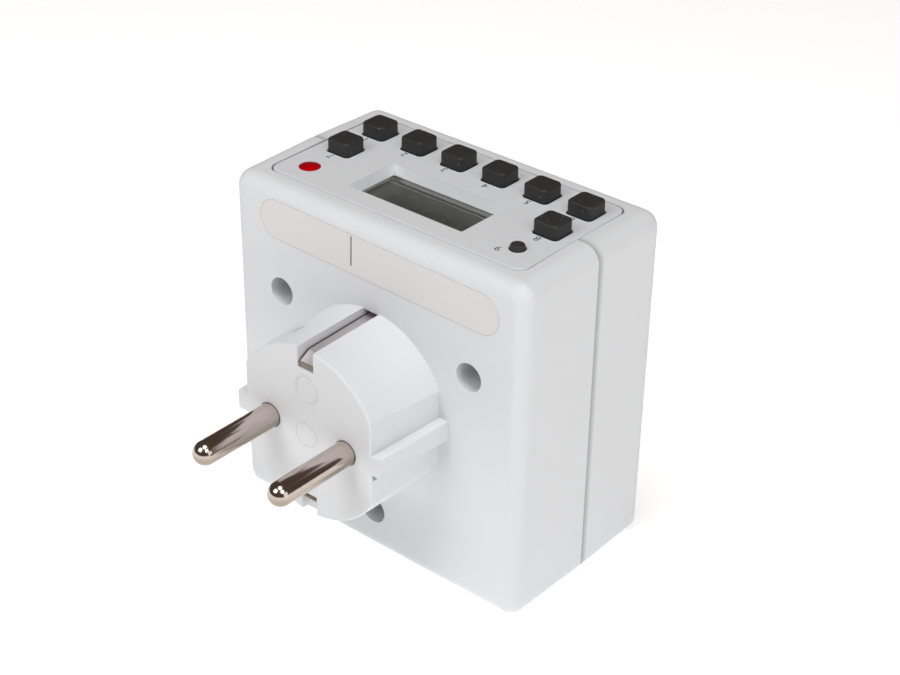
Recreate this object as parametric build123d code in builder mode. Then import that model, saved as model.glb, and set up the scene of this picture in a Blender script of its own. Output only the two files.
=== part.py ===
from build123d import *
import os
from math import cos, radians, sin, tan

# Plug-in digital timer switch.
#
# Row frame, millimetres: +Z up through the key panel, +Y out of the socket, -Y out of the plug.
# The origin is the middle of the housing's base at the rear shell's rim, so the housing stands
# on Z = 0 and the plug and socket share the axis X = 0, Z = AXIS_Z.

os.makedirs("parts", exist_ok=True)

# ---------------------------------------------------------------- housing
HOUSING_WIDTH = 72.0
HOUSING_DEPTH = 40.8
HOUSING_HEIGHT = 72.4
CORNER_RADIUS = 3.4  # corners of the outline seen from the front
EDGE_RADIUS = 3.0  # rims of the front and rear faces
DRAFT = 0.75  # degrees: both shells narrow from the seam outwards, on every side but the base
END_TAPER = HOUSING_DEPTH / 2 * tan(radians(DRAFT))
BASE_SKIM = 0.02  # taken off the underside, so that the base is one true plane
WALL = 2.2
SEAM_GAP = 0.15  # between the shells
SEAM_BEVEL_END_Y = 1.3  # end of the bevel round the front shell's rim
SEAM_BEVEL_DEPTH = 0.35
AXIS_Z = 36.4  # height of the plug's and the socket's common axis
REAR_Y = -HOUSING_DEPTH / 2
FRONT_Y = HOUSING_DEPTH / 2
INNER_REAR_Y = REAR_Y + WALL
INNER_FRONT_Y = FRONT_Y - WALL
TONGUE_LENGTH = 1.7  # lip of the front shell inside the rear one
TONGUE_THICKNESS = 1.0
FIT_GAP = 0.1
PAST = 1.0  # how far a cut runs past the face it opens
MIN_CORNER = 0.5

# ---------------------------------------------------------------- standard 16 A plug and socket
PIN_PITCH = 19.0
PIN_RADIUS = 2.4
PIN_LENGTH = 19.0
PLUG_LENGTH = 17.7
PLUG_FACE_Y = REAR_Y - PLUG_LENGTH
PLUG_ROOT_RADIUS = 18.4
PLUG_FACE_RADIUS = 18.0
PLUG_ROOT_FLAT = 16.65  # half distance across the side flats
PLUG_FACE_FLAT = 15.65
RIB_ROOT_REACH = 18.8
RIB_FACE_REACH = 17.9
RIB_ROOT_HEIGHT = 4.1
RIB_FACE_HEIGHT = 3.9
PLUG_WALL = 2.0
PLUG_EDGE = 0.45  # rounded rim of the plug's face
RELIEF_LENGTH = 6.0  # groove under the right rib and over the left one
RELIEF_HEIGHT = 1.7
RELIEF_DEPTH = 1.0
GROOVE_WIDTH = 3.9
GROOVE_SIDE_WALL = 1.6
GROOVE_BLOCK_DISTANCE = 14.9  # middle of the material round a groove, from the axis
GROOVE_BLOCK_HEIGHT = 4.8
GROOVE_TOP = 19.2  # past the plug's surface, so that the groove is open
GROOVE_WALL_TOP = 18.0  # the opening in the rear wall reaches this far from the axis
PIN_BOSS_WALL = 0.9
PIN_RING_WIDTH = 0.18  # shallow ring round each pin in the plug's face
PIN_RING_DEPTH = 0.35
RECESS_RADIUS = 19.75
RECESS_DEPTH = 17.5
RECESS_FLOOR = 2.5
RECESS_WALL = 2.0
RECESS_FLAT = 17.1  # half distance across the side lands
RECESS_SLOT_REACH = 19.4
RECESS_SLOT_HEIGHT = 5.0
LAND_SETBACK = 2.0  # the lands start this far below the mouth
PIN_HOLE_RADIUS = 2.75
MOUTH_CHAMFER = 0.6
CLIP_SLOT_DISTANCE = 17.2  # slots in the recess's floor for the earth clips, from the axis
CLIP_SLOT_HEIGHT = 3.4
CLIP_SLOT_SIDE_GAP = 0.5
FLOOR_Y = FRONT_Y - RECESS_DEPTH
FLOOR_BACK_Y = FLOOR_Y - RECESS_FLOOR
PIN_X = PIN_PITCH / 2

# ---------------------------------------------------------------- housing screws, 120 degrees apart
SCREW_CIRCLE = 27.0
WELL_RADIUS = 2.9
TOWER_RADIUS = 4.6
TOWER_END_Y = -3.0
WELL_FLOOR = 2.0
SCREW_HEAD_RADIUS = 2.6
SCREW_HEAD_HEIGHT = 2.0
SCREW_HEAD_EDGE = 0.5
SCREW_SHANK_RADIUS = 1.4
SCREW_CLEARANCE = 0.2
SCREW_TIP_Y = 8.0
BOSS_RADIUS = 3.6
BOSS_HOLE_END_Y = 9.5
WELL_FLOOR_Y = TOWER_END_Y - WELL_FLOOR
SCREW_CENTRES = [
    (SCREW_CIRCLE * cos(radians(a)), AXIS_Z + SCREW_CIRCLE * sin(radians(a))) for a in (30, 150, 270)
]

# ---------------------------------------------------------------- key panel
PANEL_WIDTH = 61.5
PANEL_DEPTH = 31.5
PANEL_CORNER = 2.5
PANEL_SETBACK = 0.05  # below the housing's crown at the seam, proud of it at the drafted ends
PANEL_THICKNESS = 2.5
PANEL_EDGE = 0.4
PANEL_GAP = 0.25
PANEL_TOP_Z = HOUSING_HEIGHT - PANEL_SETBACK
PANEL_UNDER_Z = PANEL_TOP_Z - PANEL_THICKNESS
PANEL_FLANGE = 0.7  # how far the hidden rim reaches under the housing's top wall
FLANGE_THICKNESS = 1.1
FLANGE_TOP_Z = HOUSING_HEIGHT - WALL - END_TAPER - FIT_GAP
FLANGE_BOTTOM_Z = FLANGE_TOP_Z - FLANGE_THICKNESS
REST_WIDTH = 6.0  # blocks in the shells that the panel's rim rests on
REST_HEIGHT = 4.0
REST_X = 21.0
REST_INNER_Y = 15.2
POST_RADIUS = 1.4
POST_HOLE_RADIUS = 0.75
POST_X = 28.9
POST_Y = 5.0

# ---------------------------------------------------------------- keys
KEY_PITCH = 10.1
KEY_ROW_PITCH = 10.0  # between the two rows
KEY_WIDTH = 5.55
KEY_DEPTH = 5.4
KEY_PROUD = 2.7
KEY_CORNER = 1.1
KEY_TOP_EDGE = 0.45
KEY_HOLE_GAP = 0.2
KEY_TRAVEL = 1.0
KEY_FLANGE = 0.45
KEY_FLANGE_THICKNESS = 0.8
KEY_REST_GAP = 0.12
KEY_FLANGE_TOP_Z = PANEL_UNDER_Z - KEY_REST_GAP
KEY_BOTTOM_Z = KEY_FLANGE_TOP_Z - KEY_FLANGE_THICKNESS
KEY_TOP_Z = PANEL_TOP_Z + KEY_PROUD
KEYS_X = 0.5  # middle of the key grid
KEYS_Y = -0.4
KEY_CENTRES = [
    (KEYS_X + column * KEY_PITCH, KEYS_Y + KEY_ROW_PITCH) for column in (-2.5, -1.5, -0.5, 0.5, 1.5, 2.5)
]
KEY_CENTRES += [(KEYS_X + column * KEY_PITCH, KEYS_Y) for column in (-2.5, 2.5)]

# ---------------------------------------------------------------- reset button and lamp
RESET_CENTRE = (25.0, -9.5)
RESET_RADIUS = 1.5
RESET_TIP_RADIUS = 1.3
RESET_PROUD = 0.9
RESET_TIP_EDGE = 0.2
RESET_HOLE_RADIUS = 1.65
RESET_TRAVEL = 0.6
RESET_FLANGE_RADIUS = 2.3
LED_CENTRE = (-25.0, -10.2)
LED_RADIUS = 2.0
LED_HOLE_RADIUS = 2.15
LED_PROUD = 0.35
LED_FLANGE_RADIUS = 2.4
LED_FLANGE_THICKNESS = 0.9
LED_FLANGE_TOP_Z = PANEL_UNDER_Z - 0.3
LED_LEAD = 0.5
LED_LEAD_PITCH = 2.54
LED_CROWN_RADIUS = (LED_RADIUS**2 + LED_PROUD**2) / (2 * LED_PROUD)

# ---------------------------------------------------------------- display
WINDOW_WIDTH = 27.6
WINDOW_DEPTH = 12.8
WINDOW_CORNER = 0.4
WINDOW_X = -0.15
WINDOW_Y = -4.9
LENS_MARGIN = 0.8
LENS_THICKNESS = 0.75
LCD_WIDTH = 28.2
LCD_DEPTH = 13.8
LCD_THICKNESS = 2.0
LCD_TOP_Z = PANEL_UNDER_Z - LENS_THICKNESS - 0.1
LCD_FRAME_WALL = 1.4
LCD_GAP = 0.2
LCD_FRAME_WIDTH = LCD_WIDTH + 2 * (LCD_GAP + LCD_FRAME_WALL)
LCD_FRAME_DEPTH = LCD_DEPTH + 2 * (LCD_GAP + LCD_FRAME_WALL)
ZEBRA_DEPTH = 1.8
ZEBRA_INSET = 1.6

# ---------------------------------------------------------------- control board and keypad mat
BOARD_THICKNESS = 1.6
CONTROL_BOARD_TOP_Z = 65.0
CONTROL_BOARD_BOTTOM_Z = CONTROL_BOARD_TOP_Z - BOARD_THICKNESS
CONTROL_BOARD_WIDTH = 61.0
CONTROL_BOARD_DEPTH = 29.0
MAT_WIDTH = 58.4
MAT_DEPTH = 28.4
MAT_THICKNESS = 1.0
MAT_TOP_Z = CONTROL_BOARD_TOP_Z + MAT_THICKNESS
MAT_LCD_CLEAR = 0.4
DOME_BASE_RADIUS = 2.7
DOME_TIP_RADIUS = 1.8
MAT_LED_RADIUS = 2.7
SMALL_SCREW_HEAD = 1.3
SMALL_SCREW_HEAD_HEIGHT = 0.9
SMALL_SCREW_SHANK = 0.7
SMALL_SCREW_LENGTH = 4.0
SMALL_SCREW_END_GAP = 0.3
CHIP_WIDTH = 10.0
CHIP_THICKNESS = 1.5
CHIP_BEVEL = 0.3
CHIP_CENTRE = (4.0, 2.0)
CELL_RADIUS = 5.75
CELL_THICKNESS = 5.3
CELL_EDGE = 0.8
CELL_CENTRE = (-13.0, -4.5)
CRYSTAL_RADIUS = 1.0
CRYSTAL_LENGTH = 6.0
CRYSTAL_CENTRE = (14.5, -4.0)

# ---------------------------------------------------------------- power board, upright behind the plug
POWER_BOARD_REAR_Y = -16.4
POWER_BOARD_FRONT_Y = POWER_BOARD_REAR_Y + BOARD_THICKNESS
POWER_BOARD_WIDTH = 63.0
POWER_BOARD_BOTTOM_Z = 4.0
POWER_BOARD_TOP_Z = 29.5
TOWER_NOTCH_WIDTH = 11.0
TOWER_NOTCH_TOP_Z = 14.6
STRIP_NOTCH_WIDTH = 5.0
STRIP_NOTCH_TOP_Z = 21.4
STANDOFF_RADIUS = 2.2
STANDOFFS = [(-28.5, 7.0), (28.5, 7.0), (-28.5, 26.5), (28.5, 26.5)]
RELAY_SIZE = (19.0, 14.2, 15.6)
RELAY_CENTRE = (-17.0, 14.2)
X2_SIZE = (17.5, 13.0, 8.0)
X2_CENTRE = (16.6, 8.6)
BULK_RADIUS = 4.0
BULK_LENGTH = 11.0
BULK_EDGE = 0.6
BULK_CENTRE = (12.5, 20.6)
VARISTOR_RADIUS = 4.2
VARISTOR_THICKNESS = 3.4
VARISTOR_EDGE = 0.9
VARISTOR_STANDOFF = 1.6
VARISTOR_LEAD_PITCH = 5.0
VARISTOR_CENTRE = (21.5, 20.6)
LEAD_RADIUS = 0.3
FUSE_RADIUS = 1.6
FUSE_LENGTH = 8.5
FUSE_EDGE = 0.4
FUSE_CENTRE = (1.5, 24.5)
RECTIFIER_SIZE = (4.0, 2.5, 4.9)
RECTIFIER_CENTRE = (-5.0, 18.2)
CASE_BEVEL = 0.4
SMALL_CASE_BEVEL = 0.3

# ---------------------------------------------------------------- contacts, shutter and earth
PIN_ROOT_RADIUS = 2.0
PIN_HEAD_RADIUS = 3.1
STRAP_THICKNESS = 0.8
STRAP_WIDTH = 5.0
STRAP_CORNER = 1.0
STRAP_TOP = 3.4  # above the pin's axis
STRAP_BOTTOM_Z = 26.0
PIN_HEAD_REAR_Y = INNER_REAR_Y
PIN_HEAD_FRONT_Y = POWER_BOARD_REAR_Y - STRAP_THICKNESS
CONTACT_INNER_RADIUS = 2.5
CONTACT_THICKNESS = 0.6
CONTACT_REAR_Y = POWER_BOARD_FRONT_Y
CONTACT_FRONT_Y = -4.6
CONTACT_SLIT = 1.6
CONTACT_TAIL_WIDTH = 3.0
CARRIER_PLATE_WIDTH = 35.0
CARRIER_PLATE_HEIGHT = 15.0
CARRIER_FRONT_Y = -2.0
CARRIER_THICKNESS = 1.8
CARRIER_CORNER = 2.0
CARRIER_TUBE_RADIUS = 4.3
CARRIER_TUBE_BORE = 3.3
CARRIER_TUBE_REAR_Y = -12.6
CARRIER_POST_X = 15.2
CARRIER_POST_DZ = 5.4
CARRIER_POST_RADIUS = 1.6
CARRIER_SCREW_REACH = SMALL_SCREW_LENGTH - CARRIER_THICKNESS
SHUTTER_FRONT_Y = FLOOR_BACK_Y - 0.3
SHUTTER_REAR_Y = CARRIER_FRONT_Y + 0.3
SHUTTER_HUB_RADIUS = 4.2
SHUTTER_LOBE_RADIUS = 3.2
SHUTTER_PIVOT_RADIUS = 1.95
SHUTTER_BORE_RADIUS = 2.0
SPRING_THICKNESS = 0.3
SPRING_WIDTH = 1.0
SPRING_BEND = 0.8
SPRING_TAIL = (13.0, 6.6)  # ends of the spring from the axis: over the hub, then on the left arm
SPRING_OVER_HUB = (0.0, 5.2)
SPRING_ON_ARM = (-8.2, 3.35)
SPRING_TIP = (-10.4, 4.6)
STRIP_THICKNESS = 0.6
STRIP_WIDTH = 3.6
STRIP_BEND = 1.0
STRIP_HOUSING = 16.5  # distance of the strips from the axis inside the housing
BRIDGE_REAR_Y = -8.2
BRIDGE_WIDTH = 3.6
BRIDGE_THICKNESS = 0.8
SIDE_NOTCH_START = 5.5  # small slot on the plug's flank, from the face
SIDE_NOTCH_LENGTH = 4.0
SIDE_NOTCH_WIDTH = 0.8
SIDE_NOTCH_DEPTH = 1.0
SIDE_NOTCH_ANGLE = 150
LINK_WIDTH = 4.0
LINK_THICKNESS = 0.9
LINK_X = -16.3
LINK_Y = -12.4
LINK_FOOT_Z = 24.6
LINK_BEND = 1.2

finished = []


def facing_rear(y):
    """The sketch plane at this y: sketch x is +X, sketch y is +Z, and extrusions go towards -Y."""
    return Plane.XZ.offset(-y)


def keep(part, name):
    """Labels a finished piece and writes it as its own STEP file."""
    part.label = name
    export_step(part, f"parts/{name}.step")
    finished.append(name)


def housing_outline(inset, taper=0.0, skim=0.0):
    """The housing's outline in a sketch that faces the rear, moved in all round by the inset.

    The taper moves it in too, on every side but the base. The skim is added below the base.
    """
    width = HOUSING_WIDTH - 2 * (inset + taper)
    height = HOUSING_HEIGHT + skim - 2 * inset - taper
    with Locations((0, inset - skim + height / 2)):
        RectangleRounded(width, height, max(CORNER_RADIUS - inset, MIN_CORNER))


def plug_section(radius, flat, middle=AXIS_Z):
    """A circle cut to a flat on each side, centred on the plug's axis."""
    with Locations((0, middle)):
        Circle(radius)
        Rectangle(2 * flat, 2 * radius, mode=Mode.INTERSECT)


def side_by_side(side):
    """Where the upper (+1) or lower (-1) earth parts lie: distance from the axis to a height."""
    return lambda distance: AXIS_Z + side * distance


# Earth strip: middle line of the bent strip, as (y, distance from the axis). It starts folded
# down into the notch of the plug's face, runs through the housing, passes the recess's floor
# and ends as the socket's sprung clip.
STRIP_ROUTE = [
    (PLUG_FACE_Y + 0.3, 14.6),
    (PLUG_FACE_Y + 2.7, 16.0),
    (REAR_Y, STRIP_HOUSING),
    (FLOOR_BACK_Y - 2.0, STRIP_HOUSING),
    (FLOOR_Y + 0.6, 17.0),
    (FLOOR_Y + 5.6, 17.9),
    (FLOOR_Y + 10.0, 16.2),
    (FLOOR_Y + 13.6, 18.3),
]

# Groove floor under the strip, as (y, distance from the axis).
GROOVE_FLOOR = [
    (PLUG_FACE_Y - PAST, 13.7),
    (PLUG_FACE_Y + 0.7, 13.7),
    (PLUG_FACE_Y + 3.3, 15.5),
    (INNER_REAR_Y + PAST, 16.0),
]

# ================================================================ rear shell with the plug body
with BuildPart() as rear_shell:
    with BuildSketch(facing_rear(0)):
        housing_outline(0, 0, BASE_SKIM)
    with BuildSketch(facing_rear(REAR_Y)):
        housing_outline(0, END_TAPER, BASE_SKIM)
    loft()
    fillet(rear_shell.faces().sort_by(Axis.Y)[0].edges(), EDGE_RADIUS)
    split(bisect_by=Plane.XY)
    with BuildSketch(facing_rear(0)):
        housing_outline(WALL)
    with BuildSketch(facing_rear(INNER_REAR_Y)):
        housing_outline(WALL, END_TAPER)
    loft(mode=Mode.SUBTRACT)
    # rebate that takes the front shell's tongue
    with BuildSketch(facing_rear(PAST)):
        housing_outline(WALL - TONGUE_THICKNESS - FIT_GAP)
    extrude(amount=PAST + TONGUE_LENGTH + FIT_GAP, mode=Mode.SUBTRACT)
    # blocks that the panel's rim rests on
    with BuildSketch(Plane.XY.offset(FLANGE_BOTTOM_Z - FIT_GAP)):
        for x in (-REST_X, REST_X):
            with Locations((x, (INNER_REAR_Y - REST_INNER_Y) / 2 - PAST / 2)):
                Rectangle(REST_WIDTH, -INNER_REAR_Y - REST_INNER_Y + PAST)
    extrude(amount=-REST_HEIGHT)
    # three screw towers
    with BuildSketch(facing_rear(TOWER_END_Y)):
        with Locations(SCREW_CENTRES):
            Circle(TOWER_RADIUS)
    extrude(amount=TOWER_END_Y - INNER_REAR_Y)
    # standoffs for the power board
    with BuildSketch(facing_rear(POWER_BOARD_REAR_Y)):
        with Locations(STANDOFFS):
            Circle(STANDOFF_RADIUS)
    extrude(amount=POWER_BOARD_REAR_Y - INNER_REAR_Y)
    with BuildSketch(facing_rear(POWER_BOARD_REAR_Y)):
        with Locations(STANDOFFS):
            Circle(POST_HOLE_RADIUS)
    extrude(
        amount=SMALL_SCREW_LENGTH - BOARD_THICKNESS + SMALL_SCREW_END_GAP, mode=Mode.SUBTRACT
    )
    # plug body, drafted, with its side flats
    with BuildSketch(facing_rear(REAR_Y)):
        plug_section(PLUG_ROOT_RADIUS, PLUG_ROOT_FLAT)
    with BuildSketch(facing_rear(PLUG_FACE_Y)):
        plug_section(PLUG_FACE_RADIUS, PLUG_FACE_FLAT)
    loft()
    fillet(rear_shell.faces().sort_by(Axis.Y)[0].edges(), PLUG_EDGE)
    # guide rib along the middle of each flat
    with BuildSketch(facing_rear(REAR_Y)):
        with Locations((0, AXIS_Z)):
            Rectangle(2 * RIB_ROOT_REACH, RIB_ROOT_HEIGHT)
    with BuildSketch(facing_rear(PLUG_FACE_Y)):
        with Locations((0, AXIS_Z)):
            Rectangle(2 * RIB_FACE_REACH, RIB_FACE_HEIGHT)
    loft()
    # relief groove beside the front end of each rib
    for side in (1, -1):
        with BuildSketch(facing_rear(PLUG_FACE_Y + PLUG_EDGE + RELIEF_LENGTH)):
            with Locations(
                (side * PLUG_FACE_FLAT, AXIS_Z - side * (RIB_FACE_HEIGHT + RELIEF_HEIGHT) / 2)
            ):
                Rectangle(2 * RELIEF_DEPTH, RELIEF_HEIGHT)
        extrude(amount=RELIEF_LENGTH, mode=Mode.SUBTRACT)
    # the plug body is cored out from inside
    with BuildSketch(facing_rear(INNER_REAR_Y + PAST)):
        plug_section(PLUG_ROOT_RADIUS - PLUG_WALL, PLUG_ROOT_FLAT - PLUG_WALL)
    with BuildSketch(facing_rear(PLUG_FACE_Y + PLUG_WALL)):
        plug_section(PLUG_FACE_RADIUS - PLUG_WALL, PLUG_FACE_FLAT - PLUG_WALL)
    loft(mode=Mode.SUBTRACT)
    # pin bosses and the walls of the earth grooves are left standing in it
    with BuildSketch(facing_rear(INNER_REAR_Y)):
        with Locations((-PIN_X, AXIS_Z), (PIN_X, AXIS_Z)):
            Circle(PIN_HEAD_RADIUS + PIN_BOSS_WALL)
    extrude(amount=INNER_REAR_Y - PLUG_FACE_Y - PLUG_WALL / 2)
    for side in (1, -1):
        height = side_by_side(side)
        with BuildSketch(facing_rear(INNER_REAR_Y)):
            with Locations((0, height(GROOVE_BLOCK_DISTANCE))):
                Rectangle(GROOVE_WIDTH + 2 * GROOVE_SIDE_WALL, GROOVE_BLOCK_HEIGHT)
        extrude(amount=INNER_REAR_Y - PLUG_FACE_Y - PLUG_WALL / 2)
        # earth groove, open through the rear wall
        with BuildSketch(Plane.YZ):
            with BuildLine():
                Polyline(
                    *[(y, height(distance)) for y, distance in GROOVE_FLOOR],
                    (INNER_REAR_Y + PAST, height(GROOVE_WALL_TOP)),
                    (REAR_Y, height(GROOVE_WALL_TOP)),
                    (REAR_Y, height(GROOVE_TOP)),
                    (PLUG_FACE_Y - PAST, height(GROOVE_TOP)),
                    close=True,
                )
            make_face()
        extrude(amount=GROOVE_WIDTH / 2, both=True, mode=Mode.SUBTRACT)
    # small slot where the round flank meets the left flat
    notch_middle_y = PLUG_FACE_Y + SIDE_NOTCH_START + SIDE_NOTCH_LENGTH / 2
    notch_plane = Plane(
        origin=(
            PLUG_FACE_RADIUS * cos(radians(SIDE_NOTCH_ANGLE)),
            notch_middle_y,
            AXIS_Z + PLUG_FACE_RADIUS * sin(radians(SIDE_NOTCH_ANGLE)),
        ),
        x_dir=(0, 1, 0),
        z_dir=(cos(radians(SIDE_NOTCH_ANGLE)), 0, sin(radians(SIDE_NOTCH_ANGLE))),
    )
    with BuildSketch(notch_plane):
        Rectangle(SIDE_NOTCH_LENGTH, SIDE_NOTCH_WIDTH)
    extrude(amount=SIDE_NOTCH_DEPTH, both=True, mode=Mode.SUBTRACT)
    # pin holes
    with BuildSketch(facing_rear(INNER_REAR_Y)):
        with Locations((-PIN_X, AXIS_Z), (PIN_X, AXIS_Z)):
            Circle(PIN_ROOT_RADIUS)
    extrude(amount=INNER_REAR_Y - PLUG_FACE_Y + PAST, mode=Mode.SUBTRACT)
    with BuildSketch(facing_rear(PLUG_FACE_Y + PIN_RING_DEPTH)):
        with Locations((-PIN_X, AXIS_Z), (PIN_X, AXIS_Z)):
            Circle(PIN_RADIUS + PIN_RING_WIDTH)
    extrude(amount=PIN_RING_DEPTH + PAST, mode=Mode.SUBTRACT)
    # screw wells from the rear face, and the clearance holes in their floors
    with BuildSketch(facing_rear(WELL_FLOOR_Y)):
        with Locations(SCREW_CENTRES):
            Circle(WELL_RADIUS)
    extrude(amount=WELL_FLOOR_Y - REAR_Y + PAST, mode=Mode.SUBTRACT)
    with BuildSketch(facing_rear(TOWER_END_Y + PAST)):
        with Locations(SCREW_CENTRES):
            Circle(SCREW_SHANK_RADIUS + SCREW_CLEARANCE)
    extrude(amount=WELL_FLOOR + 2 * PAST, mode=Mode.SUBTRACT)
    # this shell's half of the panel opening
    with BuildSketch(Plane.XY.offset(HOUSING_HEIGHT - WALL - PAST)):
        RectangleRounded(PANEL_WIDTH + 2 * PANEL_GAP, PANEL_DEPTH + 2 * PANEL_GAP, PANEL_CORNER)
    extrude(amount=WALL + 2 * PAST, mode=Mode.SUBTRACT)
keep(rear_shell.part, "rear_shell")

# ================================================================ front shell with the socket recess
with BuildPart() as front_shell:
    with BuildSketch(facing_rear(SEAM_BEVEL_END_Y)):
        housing_outline(0, 0, BASE_SKIM)
    with BuildSketch(facing_rear(FRONT_Y)):
        housing_outline(0, END_TAPER, BASE_SKIM)
    loft()
    fillet(front_shell.faces().sort_by(Axis.Y)[-1].edges(), EDGE_RADIUS)
    # bevelled rim at the seam
    with BuildSketch(facing_rear(SEAM_GAP)):
        housing_outline(SEAM_BEVEL_DEPTH)
    with BuildSketch(facing_rear(SEAM_BEVEL_END_Y)):
        housing_outline(0, 0, BASE_SKIM)
    loft()
    split(bisect_by=Plane.XY)
    with BuildSketch(facing_rear(SEAM_GAP)):
        housing_outline(WALL)
    with BuildSketch(facing_rear(INNER_FRONT_Y)):
        housing_outline(WALL, END_TAPER)
    loft(mode=Mode.SUBTRACT)
    # blocks that the panel's rim rests on
    with BuildSketch(Plane.XY.offset(FLANGE_BOTTOM_Z - FIT_GAP)):
        for x in (-REST_X, REST_X):
            with Locations((x, (INNER_FRONT_Y + REST_INNER_Y) / 2 + PAST / 2)):
                Rectangle(REST_WIDTH, INNER_FRONT_Y - REST_INNER_Y + PAST)
    extrude(amount=-REST_HEIGHT)
    # tongue, which runs a little way inside the wall it grows from
    with BuildSketch(facing_rear(PAST)):
        housing_outline(WALL - TONGUE_THICKNESS)
        with Locations((0, HOUSING_HEIGHT / 2)):
            RectangleRounded(
                HOUSING_WIDTH - 2 * WALL,
                HOUSING_HEIGHT - 2 * WALL,
                CORNER_RADIUS - WALL,
                mode=Mode.SUBTRACT,
            )
    extrude(amount=PAST + TONGUE_LENGTH)
    # screw bosses
    with BuildSketch(facing_rear(TOWER_END_Y)):
        with Locations(SCREW_CENTRES):
            Circle(BOSS_RADIUS)
    extrude(amount=TOWER_END_Y - INNER_FRONT_Y)
    # recess cup and its floor
    with BuildSketch(facing_rear(FLOOR_BACK_Y)):
        with Locations((0, AXIS_Z)):
            Circle(RECESS_RADIUS + RECESS_WALL)
    extrude(amount=FLOOR_BACK_Y - INNER_FRONT_Y)
    # posts for the contact carrier
    with BuildSketch(facing_rear(CARRIER_FRONT_Y)):
        with Locations((0, AXIS_Z)):
            with GridLocations(2 * CARRIER_POST_X, 2 * CARRIER_POST_DZ, 2, 2):
                Circle(CARRIER_POST_RADIUS)
    extrude(amount=CARRIER_FRONT_Y - FLOOR_BACK_Y)
    # round mouth, then the recess with its side lands and the slots for a plug's guide ribs
    with BuildSketch(facing_rear(FRONT_Y - LAND_SETBACK)):
        with Locations((0, AXIS_Z)):
            Circle(RECESS_RADIUS)
    extrude(amount=-(LAND_SETBACK + PAST), mode=Mode.SUBTRACT)
    with BuildSketch(facing_rear(FLOOR_Y)):
        plug_section(RECESS_RADIUS, RECESS_FLAT)
        with Locations((0, AXIS_Z)):
            Rectangle(2 * RECESS_SLOT_REACH, RECESS_SLOT_HEIGHT)
    extrude(amount=-RECESS_DEPTH, mode=Mode.SUBTRACT)
    chamfer(front_shell.edges().filter_by(GeomType.CIRCLE).sort_by(Axis.Y)[-1], MOUTH_CHAMFER)
    # pin holes with a lead-in, and slots for the earth clips
    with BuildSketch(facing_rear(FLOOR_BACK_Y - PAST)):
        with Locations((-PIN_X, AXIS_Z), (PIN_X, AXIS_Z)):
            Circle(PIN_HOLE_RADIUS)
    extrude(amount=-(RECESS_FLOOR + 2 * PAST), mode=Mode.SUBTRACT)
    with BuildSketch(facing_rear(FLOOR_BACK_Y - PAST)):
        for side in (1, -1):
            with Locations((0, AXIS_Z + side * CLIP_SLOT_DISTANCE)):
                Rectangle(GROOVE_WIDTH + 2 * CLIP_SLOT_SIDE_GAP, CLIP_SLOT_HEIGHT)
    extrude(amount=-(RECESS_FLOOR + 2 * PAST), mode=Mode.SUBTRACT)
    # screw holes in the carrier's posts
    with BuildSketch(facing_rear(CARRIER_FRONT_Y - PAST)):
        with Locations((0, AXIS_Z)):
            with GridLocations(2 * CARRIER_POST_X, 2 * CARRIER_POST_DZ, 2, 2):
                Circle(POST_HOLE_RADIUS)
    extrude(amount=-(CARRIER_SCREW_REACH + SMALL_SCREW_END_GAP + PAST), mode=Mode.SUBTRACT)
    # screw holes in the bosses
    with BuildSketch(facing_rear(TOWER_END_Y - PAST)):
        with Locations(SCREW_CENTRES):
            Circle(SCREW_SHANK_RADIUS + FIT_GAP / 2)
    extrude(amount=-(BOSS_HOLE_END_Y - TOWER_END_Y + PAST), mode=Mode.SUBTRACT)
    # this shell's half of the panel opening
    with BuildSketch(Plane.XY.offset(HOUSING_HEIGHT - WALL - PAST)):
        RectangleRounded(PANEL_WIDTH + 2 * PANEL_GAP, PANEL_DEPTH + 2 * PANEL_GAP, PANEL_CORNER)
    extrude(amount=WALL + 2 * PAST, mode=Mode.SUBTRACT)
keep(front_shell.part, "front_shell")

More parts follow.
